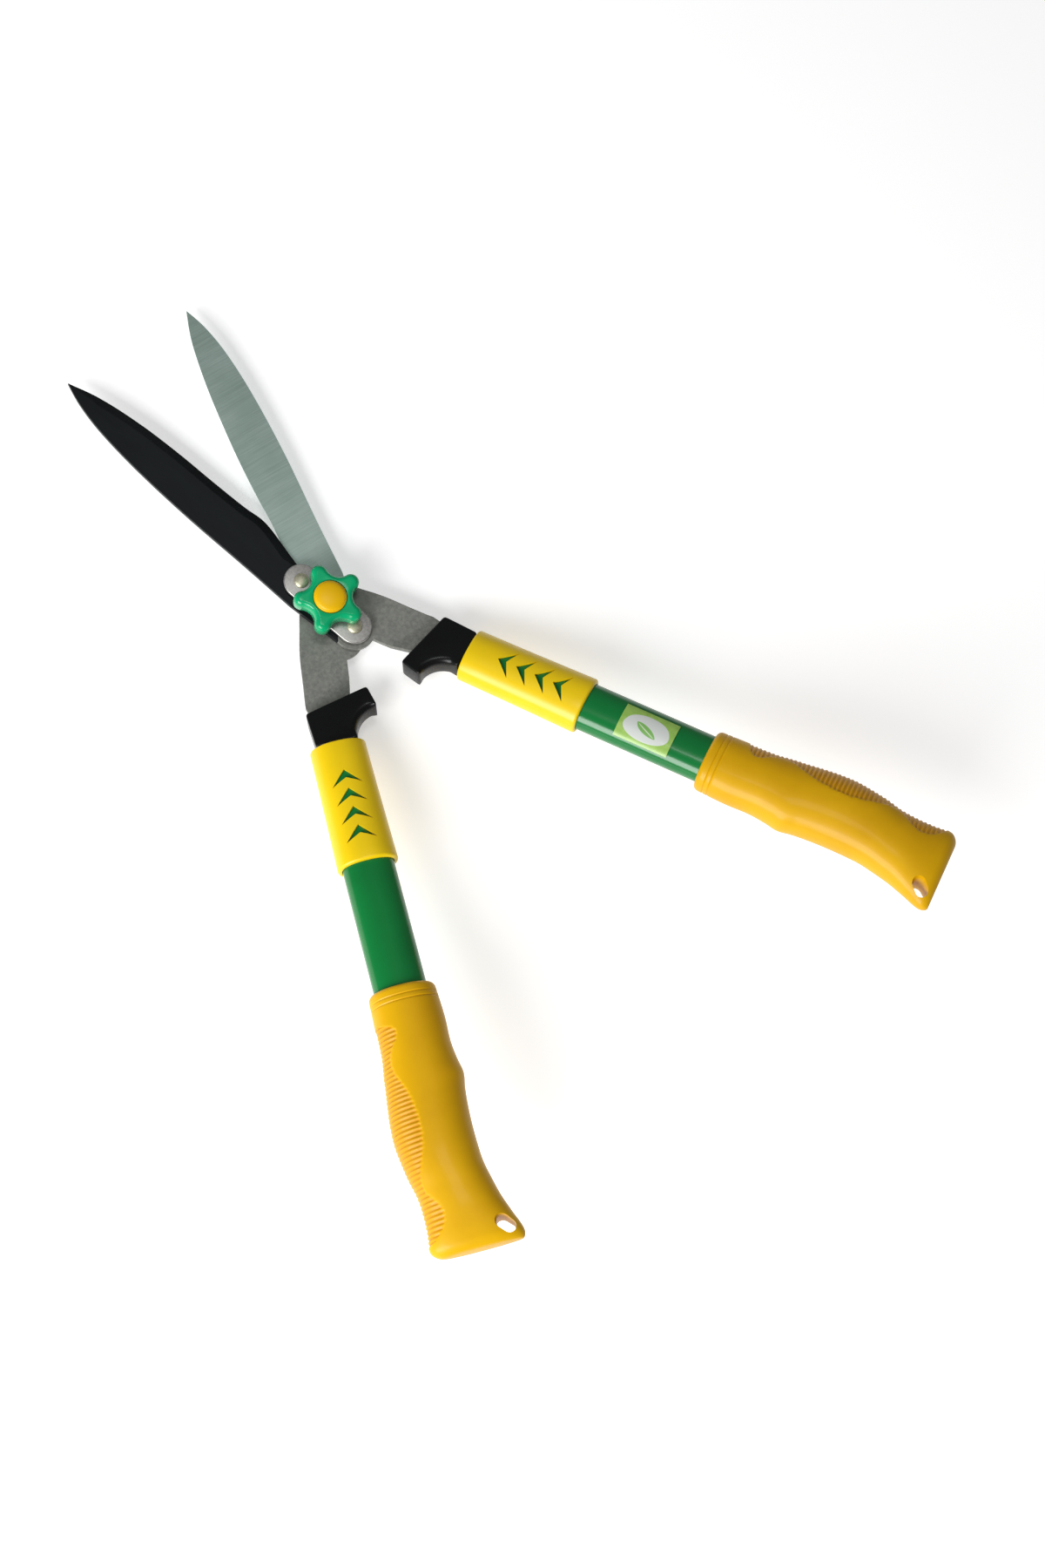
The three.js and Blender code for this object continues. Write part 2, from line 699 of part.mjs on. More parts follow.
const sides = [
  { name: 'left', side: -1, tangMiddle: -(bladeBottom + bladeTop) / 2 },
  { name: 'right', side: 1, tangMiddle: (bladeBottom + bladeTop) / 2 },
];
for (const { name, side, tangMiddle } of sides) {
  const group = handleGroup(side);
  add(group, `${name}_bolster`, handed(bolsterGeometry(tangMiddle), side), blackPlastic());
  add(group, `${name}_tang_plug`, handed(plugGeometry(tangMiddle), side), blackPlastic());
  add(group, `${name}_tang_rivet`, handed(rivetGeometry(), side), plainSteel());
  add(group, `${name}_tube`, handed(tubeGeometry(), side), greenPaint());
  add(group, `${name}_sleeve`, handed(sleeveGeometry(), side), yellowPlastic());
  add(group, `${name}_grip`, handed(gripGeometry(), side), orangeGrip());
  if (side > 0) {
    add(group, 'tube_label', labelGeometry(), finish(0xa9cf6a, 0.4, 0));
  }
}

export default shears;
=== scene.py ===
"""Hedge shears: fine meshes, materials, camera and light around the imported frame. Metres, +Z up."""
import math

import bmesh
import bpy
import numpy as np
from mathutils import Matrix, Vector


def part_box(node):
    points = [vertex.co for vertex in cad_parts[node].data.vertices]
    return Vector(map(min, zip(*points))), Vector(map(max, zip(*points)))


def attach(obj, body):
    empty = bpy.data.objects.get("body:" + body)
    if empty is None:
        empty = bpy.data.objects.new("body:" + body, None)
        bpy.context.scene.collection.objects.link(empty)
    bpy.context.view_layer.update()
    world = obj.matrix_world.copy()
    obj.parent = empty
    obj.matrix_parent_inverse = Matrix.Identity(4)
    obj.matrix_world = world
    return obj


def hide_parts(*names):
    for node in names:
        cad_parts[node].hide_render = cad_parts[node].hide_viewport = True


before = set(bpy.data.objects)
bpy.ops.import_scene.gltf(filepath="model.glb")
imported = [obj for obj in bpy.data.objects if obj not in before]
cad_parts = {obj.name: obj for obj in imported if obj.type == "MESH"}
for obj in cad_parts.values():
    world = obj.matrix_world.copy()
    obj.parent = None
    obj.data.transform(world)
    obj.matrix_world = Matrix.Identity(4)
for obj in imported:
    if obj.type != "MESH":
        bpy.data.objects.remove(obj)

MM = 0.001
TAU = 2 * math.pi


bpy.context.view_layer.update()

# ---- Sizes, in millimetres, of the frame's own parts ----
FIT = 0.3
LIFT = 9.25  # pivot bolt's underside to the plane between the blades
CRANK_AT, CRANK = 40.0, math.radians(15.8)
OFFSET, REACH, SPLAY = 45.0, 28.0, math.radians(24.3)
HALF_OPENING = math.radians(12.3)

BLADE_LENGTH, BLADE_THICK = 192.0, 3.0
EDGE_WIDTH, SPINE_WIDTH = 10.9, 14.8
BEVEL_WIDTH, BEVEL_DROP = 5.2, 2.1  # the ground edge
CREASE_HALF = 3.0  # half the run over which a tang bends
FINISH_ACROSS, FINISH_ENDS = (0.86, -0.5), 1.5  # the slanting line where a blade's finish ends
HEEL_RADIUS = 12.4
INNER_SEAM, OUTER_SEAM = 14.6, 45.0
# the tang's sides from the crank to the end of its tongue: [along, outward] in the handle's frame
TANG_INNER = ((-29, -14.3), (-14, -11.3), (-6, -7), (58, -7))
TANG_OUTER = ((58, 7), (-6, 7), (-14, 9.2), (-23, 11))

TUBE_W, TUBE_H, TUBE_WALL = 28.4, 18.8, 1.5
SEAT = 3.2  # where tubes and sleeves start along the handle
SLEEVE_LENGTH, SLEEVE_FRONT, SLEEVE_REAR = 73.3, 1.15, 2.2
CHEVRONS, CHEVRON_FIRST, CHEVRON_PITCH = 4, 0.25, 0.154  # the last two are shares of the sleeve
CHEVRON_SWEEP, CHEVRON_SPAN, CHEVRON_STROKE = 9.4, 8.6, 5.2
GRIP_START, GRIP_LENGTH, GRIP_SOLID = 149.5, 142.0, 23.5
GRIP_END = GRIP_START + GRIP_LENGTH
TUBE_END = GRIP_END - GRIP_SOLID
GROOVES = (5.6, 8.6)  # from the grip's front end
HOLE_FROM_TAIL, HOLE_FROM_SIDE, HOLE_TURN = 8.0, 7.5, math.radians(-42)
HOLE_HALF, HOLE_RADIUS = 1.8, 3.5
LABEL_START, LABEL_LENGTH, LABEL_THICK = 98.0, 32.0, 0.4
LABEL_FROM, LABEL_TO = math.radians(62), math.radians(142)

BOLSTER_OUTER, BOLSTER_INNER, BOLSTER_LENGTH, BOLSTER_TAPER = 11.6, 12.4, 18.6, 1.2
BOLSTER_THICK, BOLSTER_HEEL = 14.4, 2.0
BUMPER_FRONT, BUMPER_REAR = 27.0, 14.0

BOLT_RADIUS, BOLT_CHAMFER = 4.0, 0.8
HEAD_FLAT, HEAD_RADIUS, HEAD_HEIGHT = 5.5, 8.5, 4.0
SPACER_THICK, PLATE_THICK, PLATE_RADIUS, PLATE_HALF = 1.2, 1.8, 10.0, 19.5
RIVET_AT, RIVET_HEAD, RIVET_SHANK, RIVET_HEIGHT = 19.6, 4.3, 2.5, 1.9
KNOB_RADIUS, KNOB_LOBE, KNOB_NOTCH, KNOB_HEIGHT, KNOB_LOBES = 20.0, 4.6, 13.0, 10.0, 5
KNOB_FIRST = math.radians(3)
NUT_CORNER, NUT_THICK = 7.853811, 5.0  # the pocket's corners from the axis; the nut's height
CAP_RADIUS, CAP_SEAT = 9.2, 1.6


# ---- Mesh helpers ----
def handle_place(side, p):
    """A point [along, outward, up] of a handle, in millimetres, in the row frame in metres."""
    s, v, h = p[..., 0], p[..., 1], p[..., 2]
    x = side * (OFFSET + s * math.sin(SPLAY) + v * math.cos(SPLAY))
    y = -(REACH + s * math.cos(SPLAY) - v * math.sin(SPLAY))
    bent_y = y * math.cos(CRANK) + h * math.sin(CRANK)
    bent_z = -y * math.sin(CRANK) + h * math.cos(CRANK)
    return np.stack([x, -CRANK_AT + bent_y, bent_z + LIFT], -1) * MM


def new_object(name, verts, faces, material, body, slot, stands_for=(), sharp=35.0):
    """A smooth-shaded mesh in the row frame that rides on a body."""
    mesh = bpy.data.meshes.new(name)
    mesh.from_pydata([tuple(map(float, v)) for v in verts], [], faces)
    bm = bmesh.new()
    bm.from_mesh(mesh)
    bmesh.ops.recalc_face_normals(bm, faces=bm.faces)
    bm.to_mesh(mesh)
    bm.free()
    mesh.polygons.foreach_set("use_smooth", [True] * len(mesh.polygons))
    mesh.set_sharp_from_angle(angle=math.radians(sharp))
    obj = bpy.data.objects.new(name, mesh)
    bpy.context.scene.collection.objects.link(obj)
    if material:
        mesh.materials.append(material)
    if body:
        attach(obj, body)
    if stands_for:
        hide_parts(*stands_for)
    return obj


def loft(rings, closed=False):
    """Verts and faces of rings of equal count. Ends are capped unless the rings close on themselves."""
    rings = np.asarray(rings, float)
    count, around = rings.shape[:2]
    verts = rings.reshape(-1, 3)
    faces = []
    for i in range(count if closed else count - 1):
        a, b = i * around, ((i + 1) % count) * around
        for j in range(around):
            k = (j + 1) % around
            faces.append((a + j, a + k, b + k, b + j))
    if not closed:
        faces.append(tuple(reversed(range(around))))
        faces.append(tuple(range((count - 1) * around, count * around)))
    return verts, faces


def spun(profile, around=72, centre=(0.0, 0.0)):
    """Rings for a solid of revolution about Z from [radius, height] pairs, in millimetres."""
    turn = np.arange(around) * TAU / around
    rings = []
    for radius, z in profile:
        r = max(radius, 0.01)
        x, y = centre[0] + r * np.cos(turn), centre[1] + r * np.sin(turn)
        rings.append(np.stack([x, y, np.full(around, z)], -1))
    return rings


def catmull(points, count):
    """A uniform Catmull-Rom run through points."""
    pts = np.array(points, float)
    out = []
    for i in range(count + 1):
        p = (len(pts) - 1) * i / count
        k = min(int(p), len(pts) - 2)
        t = p - k
        p1, p2 = pts[k], pts[k + 1]
        p0 = pts[k - 1] if k > 0 else pts[k]
        p3 = pts[k + 2] if k + 2 < len(pts) else pts[k + 1]
        v0, v1 = (p2 - p0) / 2, (p3 - p1) / 2
        cubic = (2 * p1 - 2 * p2 + v0 + v1) * t ** 3
        square = (-3 * p1 + 3 * p2 - 2 * v0 - v1) * t ** 2
        out.append(cubic + square + v0 * t + p1)
    return out


def arc(centre, radius, start, end, steps):
    """Points of an arc, both ends included."""
    return [np.array([centre[0] + radius * math.cos(start + (end - start) * i / steps),
                      centre[1] + radius * math.sin(start + (end - start) * i / steps)])
            for i in range(steps + 1)]


def spaced(points, pitch, closed=True):
    """A polyline resampled at a near-even pitch that keeps its corners."""
    pts = [np.array(p, float) for p in points]
    ends = pts[1:] + ([pts[0]] if closed else [])
    out = []
    for a, b in zip(pts, ends):
        n = max(1, int(round(np.linalg.norm(b - a) / pitch)))
        out += [a + (b - a) * i / n for i in range(n)]
    return out if closed else out + [pts[-1]]


def inward_normals(outline):
    """Unit mitre normals of a counter-clockwise outline, pointing into it."""
    p = np.array(outline)
    before, after = p - np.roll(p, 1, 0), np.roll(p, -1, 0) - p
    before /= np.linalg.norm(before, axis=1)[:, None] + 1e-12
    after /= np.linalg.norm(after, axis=1)[:, None] + 1e-12
    n1 = np.stack([-before[:, 1], before[:, 0]], -1)
    n2 = np.stack([-after[:, 1], after[:, 0]], -1)
    mid = n1 + n2
    mid /= np.linalg.norm(mid, axis=1)[:, None] + 1e-12
    return mid / np.clip((mid * n1).sum(1), 0.5, 1)[:, None]


def turns_left(outline):
    """True if an outline runs counter-clockwise."""
    x, y = outline[:, 0], outline[:, 1]
    return (x * np.roll(y, -1) - y * np.roll(x, -1)).sum() > 0


def counter_clockwise(outline):
    p = np.array(outline)
    return p if turns_left(p) else p[::-1]


def edged_plate(outline, bottom, top, top_edge, bottom_edge):
    """Rings of a plate with edges shaped by [inset, drop] steps. A step may differ per point."""
    p = np.array(outline)
    n = inward_normals(p)
    rings = []

    def ring(inset, z):
        inset = np.broadcast_to(np.asarray(inset, float), (len(p),))
        z = np.broadcast_to(np.asarray(z, float), (len(p),))
        xy = p + n * inset[:, None]
        rings.append(np.column_stack([xy, z]))

    for inset, rise in reversed(bottom_edge):
        ring(inset, bottom + rise)
    for inset, drop in top_edge:
        ring(inset, top - drop)
    return rings


def rounding(radius, steps=4):
    """[inset, drop] steps of a quarter round from the side to the face."""
    return [(radius * (1 - math.cos(a)), radius * (1 - math.sin(a)))
            for a in (math.pi / 2 * i / steps for i in range(steps + 1))]


def cut(obj, *cutters):
    """Cuts closed meshes out of obj and removes them."""
    for cutter in cutters:
        step = obj.modifiers.new("cut", "BOOLEAN")
        step.operation = "DIFFERENCE"
        step.solver = "EXACT"
        step.object = cutter
        depsgraph = bpy.context.evaluated_depsgraph_get()
        mesh = bpy.data.meshes.new_from_object(obj.evaluated_get(depsgraph))
        obj.modifiers.clear()
        old = obj.data
        obj.data = mesh
        bpy.data.meshes.remove(old)
        bpy.data.objects.remove(cutter)
    obj.data.set_sharp_from_angle(angle=math.radians(32))
    return obj


def cutter_of(verts, faces):
    """A closed mesh that only serves to cut."""
    return new_object("cutter", verts, faces, None, None, None)


# ---- Material helpers ----
def material(name, color, roughness, metallic=0.0, coat=0.0, coat_roughness=0.1, specular=0.5):
    """A plain material with its constants on the shader's own sockets."""
    m = bpy.data.materials.new(name)
    m.use_nodes = True
    shader = m.node_tree.nodes["Principled BSDF"]
    shader.inputs["Base Color"].default_value = (*color, 1)
    shader.inputs["Roughness"].default_value = roughness
    shader.inputs["Metallic"].default_value = metallic
    shader.inputs["Coat Weight"].default_value = coat
    shader.inputs["Coat Roughness"].default_value = coat_roughness
    shader.inputs["Specular IOR Level"].default_value = specular
    return m


def linked(m, kind, **sockets):
    """A new node whose named sockets are set, or linked when given another node's output."""
    node = m.node_tree.nodes.new(kind)
    for name, value in sockets.items():
        if hasattr(node, name) and not isinstance(value, bpy.types.NodeSocket):
            setattr(node, name, value)
            continue
        key = int(name[1:]) if name[0] == "_" and name[1:].isdigit() else name.replace("_", " ")
        if isinstance(value, bpy.types.NodeSocket):
            m.node_tree.links.new(value, node.inputs[key])
        else:
            node.inputs[key].default_value = value
    return node


def coords(m, turn=0.0, stretch=(1, 1, 1)):
    """Object coordinates turned about Z and stretched."""
    place = linked(m, "ShaderNodeTexCoord")
    turned = linked(m, "ShaderNodeMapping", Vector=place.outputs["Object"])
    turned.inputs["Rotation"].default_value = (0, 0, turn)
    scaled = linked(m, "ShaderNodeMapping", Vector=turned.outputs["Vector"])
    scaled.inputs["Scale"].default_value = stretch
    return scaled.outputs["Vector"]


def noise(m, vector, scale, detail=3.0, roughness=0.55):
    return linked(m, "ShaderNodeTexNoise", Vector=vector, Scale=scale, Detail=detail,
                  Roughness=roughness).outputs["Fac"]


def ramp(m, fac, stops):
    """A colour ramp from [place, colour] stops."""
    node = linked(m, "ShaderNodeValToRGB", Fac=fac)
    elements = node.color_ramp.elements
    while len(elements) < len(stops):
        elements.new(0.5)
    for element, (place, color) in zip(elements, stops):
        element.position = place
        element.color = (*color, 1)
    return node.outputs["Color"]


def spread(m, fac, low, high):
    """A value from 0 to 1 mapped to low to high."""
    return linked(m, "ShaderNodeMapRange", _0=fac, _3=low, _4=high).outputs["Result"]


def mixed(m, fac, a, b, blend="MIX"):
    """Two colours mixed by a factor. Each may be a value or another node's output."""
    node = m.node_tree.nodes.new("ShaderNodeMix")
    node.data_type = "RGBA"
    node.blend_type = blend
    for socket, value in (("Factor_Float", fac), ("A_Color", a), ("B_Color", b)):
        target = next(i for i in node.inputs if i.identifier == socket)
        if isinstance(value, bpy.types.NodeSocket):
            m.node_tree.links.new(value, target)
        else:
            target.default_value = value if socket == "Factor_Float" else (*value, 1)
    return next(o for o in node.outputs if o.identifier == "Result_Color")


def shade(m, color=None, roughness=None, bump=None, strength=0.2, depth=0.0002):
    """Links colour, roughness and bump to the shader."""
    shader = m.node_tree.nodes["Principled BSDF"]
    links = m.node_tree.links
    if color is not None:
        links.new(color, shader.inputs["Base Color"])
    if roughness is not None:
        links.new(roughness, shader.inputs["Roughness"])
    if bump is not None:
        node = linked(m, "ShaderNodeBump", Strength=strength, Distance=depth, Height=bump)
        links.new(node.outputs["Normal"], shader.inputs["Normal"])
    return m


def tinted(color, share):
    return tuple(min(1.0, c * share) for c in color)


# ---- Materials ----
def coated_black():
    """Baked black coating with a soft cloudy sheen along the blade."""
    m = material("black_coat", (0.004, 0.006, 0.007), 0.42, specular=0.2)
    v = coords(m, -HALF_OPENING, (1, 0.25, 1))
    soft = noise(m, v, 120, 4)
    color = ramp(m, soft, [(0.3, (0.0025, 0.0040, 0.0048)), (0.75, (0.0060, 0.0085, 0.0095))])
    fine = noise(m, coords(m), 2600, 2)
    return shade(m, color, spread(m, soft, 0.36, 0.5), fine, 0.18, 0.00005)


def brushed_blade():
    """Grey-green steel with fine cross-grinding lines."""
    m = material("brushed_blade", (0.26, 0.35, 0.31), 0.4, metallic=0.55, specular=0.5)
    lines = noise(m, coords(m, HALF_OPENING - math.radians(9), (40, 1300, 40)), 1, 3, 0.6)
    cloud = noise(m, coords(m), 22, 3)
    base = ramp(m, cloud, [(0.3, (0.32, 0.43, 0.38)), (0.7, (0.44, 0.55, 0.50))])
    streak = ramp(m, lines, [(0.3, (0.78, 0.80, 0.80)), (0.72, (1.0, 1.0, 1.0))])
    color = mixed(m, 1.0, base, streak, "MULTIPLY")
    return shade(m, color, spread(m, lines, 0.3, 0.48), lines, 0.12, 0.00004)


def tang_steel():
    """Mottled mill-finish steel."""
    m = material("tang_steel", (0.20, 0.20, 0.185), 0.5, metallic=0.5, specular=0.5)
    mottle = noise(m, coords(m), 420, 6, 0.72)
    cloud = noise(m, coords(m), 40, 3)
    base = ramp(m, mottle, [(0.32, (0.185, 0.190, 0.175)), (0.7, (0.330, 0.335, 0.305))])
    wash = ramp(m, cloud, [(0.3, (0.82, 0.82, 0.82)), (0.75, (1.0, 1.0, 0.98))])
    color = mixed(m, 1.0, base, wash, "MULTIPLY")
    return shade(m, color, spread(m, mottle, 0.4, 0.6), mottle, 0.25, 0.0001)


def steel(name, color, roughness, grain=900, bright=1.2):
    """Plain grained metal."""
    m = material(name, color, roughness, metallic=0.85, specular=0.5)
    fine = noise(m, coords(m), grain, 4, 0.65)
    tint = ramp(m, fine, [(0.3, tinted(color, 0.75)), (0.72, tinted(color, bright))])
    return shade(m, tint, spread(m, fine, roughness * 0.75, roughness * 1.3), fine, 0.15, 0.00005)


def moulded(name, color, roughness, coat=0.0, grain=1500, vary=0.12, bump=0.15, specular=0.5):
    """Moulded plastic or paint with a slight cloud and a fine grain."""
    m = material(name, color, roughness, coat=coat, coat_roughness=0.12, specular=specular)
    cloud = noise(m, coords(m), 35, 3)
    fine = noise(m, coords(m), grain, 3)
    tint = ramp(m, cloud, [(0.28, tinted(color, 1 - vary)), (0.72, tinted(color, 1 + vary / 2))])
    return shade(m, tint, spread(m, fine, roughness * 0.85, roughness * 1.15), fine, bump, 0.00005)


def grip_plastic():
    """Orange-yellow plastic with painted shade over the ribbed side, deepest in the grooves between the
    ribs.
    """
    m = material("orange_grip", (0.80, 0.42, 0.010), 0.34, specular=0.22, coat=0.08,
                 coat_roughness=0.12)
    ribbed = linked(m, "ShaderNodeAttribute", attribute_name="ribbed").outputs["Fac"]
    cloud = noise(m, coords(m), 30, 3)
    fine = noise(m, coords(m), 1900, 3, 0.6)
    plain = ramp(m, cloud, [(0.28, (0.66, 0.350, 0.0)), (0.72, (0.75, 0.42, 0.0))])
    # painted shade: the darker groove colour lies over the ribbed side and is strongest at the bottoms
    # of the grooves
    groove = mixed(m, ribbed, plain, (0.62, 0.27, 0.0))
    return shade(m, groove, spread(m, fine, 0.36, 0.5), fine, 0.2, 0.00005)


def label_film():
    """A light green film with a white oval and one plain leaf with its mid-rib."""
    m = material("label_film", (0.42, 0.62, 0.16), 0.35, coat=0.3)
    place = linked(m, "ShaderNodeAttribute", attribute_name="place").outputs["Vector"]
    parts = linked(m, "ShaderNodeSeparateXYZ", Vector=place)

    def maths(operation, a, b=0.0):
        return linked(m, "ShaderNodeMath", operation=operation, _0=a, _1=b).outputs["Value"]

    def oval(cx, cy, rx, ry, turn=0.0):
        dx, dy = maths("SUBTRACT", parts.outputs["X"], cx), maths("SUBTRACT", parts.outputs["Y"], cy)
        c, s = math.cos(turn), math.sin(turn)
        u = maths("ADD", maths("MULTIPLY", dx, c / rx), maths("MULTIPLY", dy, s / rx))
        w = maths("ADD", maths("MULTIPLY", dx, -s / ry), maths("MULTIPLY", dy, c / ry))
        reach = maths("ADD", maths("MULTIPLY", u, u), maths("MULTIPLY", w, w))
        edge = linked(m, "ShaderNodeMapRange", _0=reach, _1=0.94, _2=1.0, _3=1.0, _4=0.0)
        return edge.outputs["Result"]

    cloud = noise(m, coords(m), 300, 3)
    film = ramp(m, cloud, [(0.3, (0.26, 0.47, 0.08)), (0.7, (0.35, 0.56, 0.12))])

    def leaf(cx, cy, turn):
        aside = (-0.12 * math.sin(turn), 0.12 * math.cos(turn))
        one = oval(cx + aside[0], cy + aside[1], 0.30, 0.22, turn)
        other = oval(cx - aside[0], cy - aside[1], 0.30, 0.22, turn)
        return maths("MULTIPLY", one, other)

    white = mixed(m, oval(0.5, 0.5, 0.43, 0.36), film, (0.66, 0.69, 0.66))
    blade_of_leaf = mixed(m, leaf(0.5, 0.5, 0.6), white, (0.20, 0.46, 0.11))
    both = mixed(m, oval(0.5, 0.5, 0.21, 0.014, 0.6), blade_of_leaf, (0.60, 0.72, 0.50))
    return shade(m, both, spread(m, cloud, 0.3, 0.42))


BLACK_COAT, BRUSHED, TANG = coated_black(), brushed_blade(), tang_steel()
PLATE_STEEL = steel("plain_steel", (0.46, 0.45, 0.43), 0.38)
RIVET_BRASS = steel("brassed_steel", (0.62, 0.60, 0.44), 0.46, bright=1.15)
BLACK_PLASTIC = moulded("black_plastic", (0.0035, 0.0038, 0.0042), 0.28, vary=0.3, bump=0.3,
                        specular=0.28)
YELLOW_SLEEVE = moulded("yellow_plastic", (0.90, 0.62, 0.0), 0.34, vary=0.05)
YELLOW_CAP = moulded("cap_plastic", (0.84, 0.49, 0.0), 0.36, vary=0.08, bump=0.3, specular=0.3)
GREEN_KNOB = moulded("green_knob", (0.0, 0.39, 0.15), 0.22, coat=0.16, vary=0.08, specular=0.28)
GREEN_PAINT = moulded("green_paint", (0.002, 0.18, 0.036), 0.24, coat=0.35, vary=0.1, bump=0.08,
                      specular=0.3)
GRIP = grip_plastic()
LABEL = label_film()

PLAIN_NODES = {
    "lower_washer": PLATE_STEEL,
    "knob_washer": PLATE_STEEL,
    "knob_nut": PLATE_STEEL,
    "left_tang_rivet": PLATE_STEEL,
    "right_tang_rivet": PLATE_STEEL,
    # the lock spacer is black so that the gap under the lock plate shows dark: painted shade
    "lock_spacer": BLACK_PLASTIC,
    "left_tang_plug": BLACK_PLASTIC,
    "right_tang_plug": BLACK_PLASTIC,
}
for node, finish in PLAIN_NODES.items():
    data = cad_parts[node].data
    data.materials.clear()
    data.materials.append(finish)


# ---- Blades with their tangs ----
def blade_point(p):
    """A point beside the right half's blade, in the flat drawn frame."""
    c, s = math.cos(HALF_OPENING), math.sin(HALF_OPENING)
    return np.array([p[0] * c - p[1] * s, p[0] * s + p[1] * c])


def handle_point(s, v):
    """A point of the right handle, laid flat."""
    return np.array([OFFSET + s * math.sin(SPLAY) + v * math.cos(SPLAY),
                     -CRANK_AT - (REACH + s * math.cos(SPLAY) - v * math.sin(SPLAY))])


def blade_outline(root_wave, belly):
    """The half's whole outline with the share of edge grinding at each point."""
    w, l, sw = EDGE_WIDTH + belly, BLADE_LENGTH, SPINE_WIDTH - belly
    spine = catmull([(0, l), (-0.36 * sw, 0.93 * l), (-0.66 * sw, 0.83 * l), (-0.88 * sw, 0.68 * l),
                     (-sw, 0.48 * l), (-1.01 * sw, 0.25 * l), (-1.05 * sw, 0.08 * l)], 72)
    heel = arc((0, -RIVET_AT), HEEL_RADIUS, 0.96 * math.pi, 1.56 * math.pi, 28)
    edge = catmull([(0.5 * w, 0.13 * l), (0.8 * w, 0.2 * l), (w + root_wave, 0.3 * l),
                    (w + 0.4 * root_wave, 0.38 * l), (w, 0.5 * l), (0.97 * w, 0.62 * l),
                    (0.84 * w, 0.76 * l), (0.52 * w, 0.9 * l), (0, l)], 110)
    d = CRANK_AT
    inner = [handle_point(s, v) for s, v in TANG_INNER]
    outer = [handle_point(s, v) for s, v in TANG_OUTER]
    flank = catmull([(OUTER_SEAM, -d), (0.95 * d, -0.71 * d), (0.73 * d, -0.34 * d),
                     (0.51 * d, -0.04 * d), (0.3 * d, 0.24 * d)], 40)
    tang = spaced([np.array([INNER_SEAM, -d]), *inner, *outer], 3, closed=False)
    points = [blade_point(p) for p in spine + heel] + tang + list(flank)
    ground = [0.0] * len(points)
    points += [blade_point(p) for p in edge[:-1]]
    share = np.linspace(0, 1, len(edge) - 1)
    ground += list(np.clip(share / 0.1, 0, 1) * np.clip((1 - share) / 0.12, 0, 1))
    return np.array(points), np.array(ground)


def bent(p):
    """Bends what lies beyond the crank line up, round a short curve."""
    half, out = CREASE_HALF, p.copy()
    for i, (_, y, z) in enumerate(p):
        beyond = -(y + CRANK_AT)
        turn = CRANK * min(1.0, max(0.0, (beyond + half) / (2 * half)))
        if turn <= 0:
            continue
        radius = 2 * half / CRANK
        start = -CRANK_AT + half
        straight = max(0.0, beyond - half)
        # the curve's middle line lies on the plane between the blades
        along = radius * math.sin(turn) + straight * math.cos(turn)
        rise = radius * (1 - math.cos(turn)) + straight * math.sin(turn)
        out[i, 1] = start - along + z * math.sin(turn)
        out[i, 2] = rise + z * math.cos(turn)
    return out


def thinned(p, ground, least=0.25):
    """Leaves out points that lie too near the last one kept."""
    keep = [0]
    for i in range(1, len(p)):
        if np.linalg.norm(p[i] - p[keep[-1]]) > least:
            keep.append(i)
    return p[keep], ground[keep]


def blade_rings(root_wave, belly):
    """The flat half with its ground cutting edge and eased sides."""
    outline, ground = blade_outline(root_wave, belly)
    p = counter_clockwise(outline)
    if not np.allclose(p[0], outline[0]):
        ground = ground[::-1]
    p, ground = thinned(p, ground)
    width, drop = BEVEL_WIDTH * ground, BEVEL_DROP * ground
    level = 0 * ground
    shaped = [(0.0, drop + 0.35), (0.1, drop + 0.1), (0.35 + level, drop),
              (np.maximum(0.36, width), level), (np.maximum(0.5, width + 0.5), level)]
    return edged_plate(p, FIT / 2, FIT / 2 + BLADE_THICK, shaped, [(0.0, 0.12), (0.12, 0.0)])


def flat_mesh(rings):
    """Vertices and faces of the flat half, sliced across the crease so that it can bend."""
    verts, faces = loft(rings)
    mesh = bpy.data.meshes.new("flat")
    mesh.from_pydata([tuple(v) for v in verts], [], faces)
    bm = bmesh.new()
    bm.from_mesh(mesh)
    bmesh.ops.triangulate(bm, faces=[f for f in bm.faces if len(f.verts) > 4])
    slices = 9
    for step in range(slices):
        y = -CRANK_AT + CREASE_HALF - 2 * CREASE_HALF * step / (slices - 1)
        geometry = bm.verts[:] + bm.edges[:] + bm.faces[:]
        bmesh.ops.bisect_plane(bm, geom=geometry, plane_co=(0, y, 0), plane_no=(0, 1, 0))
    flat = np.array([v.co for v in bm.verts])
    bm.verts.index_update()
    faces = [[v.index for v in f.verts] for f in bm.faces]
    bm.free()
    bpy.data.meshes.remove(mesh)
    return flat, faces


def blade(name, node, side, root_wave, belly, finish, slot, body):
    """One half's steel: a finished blade and a bare tang beyond a slanting line at the pivot."""
    flat, faces = flat_mesh(blade_rings(root_wave, belly))
    flat[:, 2] *= side
    where = bent(flat)
    where[:, 0] *= side
    where[:, 2] += LIFT
    obj = new_object(name, where * MM, faces, finish, body, slot, [node], sharp=17)
    obj.data.materials.append(TANG)
    for polygon in obj.data.polygons:
        c = flat[list(polygon.vertices)].mean(0)
        polygon.material_index = int(np.dot(c[:2], FINISH_ACROSS) > FINISH_ENDS)


blade("blade_upper", "upper_blade", 1, 1.8, 1.2, BLACK_COAT, "black_coat", "right_half")
blade("blade_lower", "lower_blade", -1, -1.6, -1.2, BRUSHED, "brushed_blade", "left_half")


# ---- Handles ----
def oval_point(half_w, half_h, angle):
    """A point of an oval that is a little squarer than an ellipse."""
    c, s = math.cos(angle), math.sin(angle)
    return (half_w * math.copysign(abs(c) ** 0.88, c), half_h * math.copysign(abs(s) ** 0.88, s))


def oval_ring(s, half_w, half_h, around, middle=0.0):
    pts = [oval_point(half_w, half_h, TAU * i / around) for i in range(around)]
    return [[s, middle + y, z] for y, z in pts]


def tube_ring(s, grow, around=96):
    """The tube's oval at a station, grown outward."""
    return oval_ring(s, TUBE_W / 2 + grow, TUBE_H / 2 + grow, around)


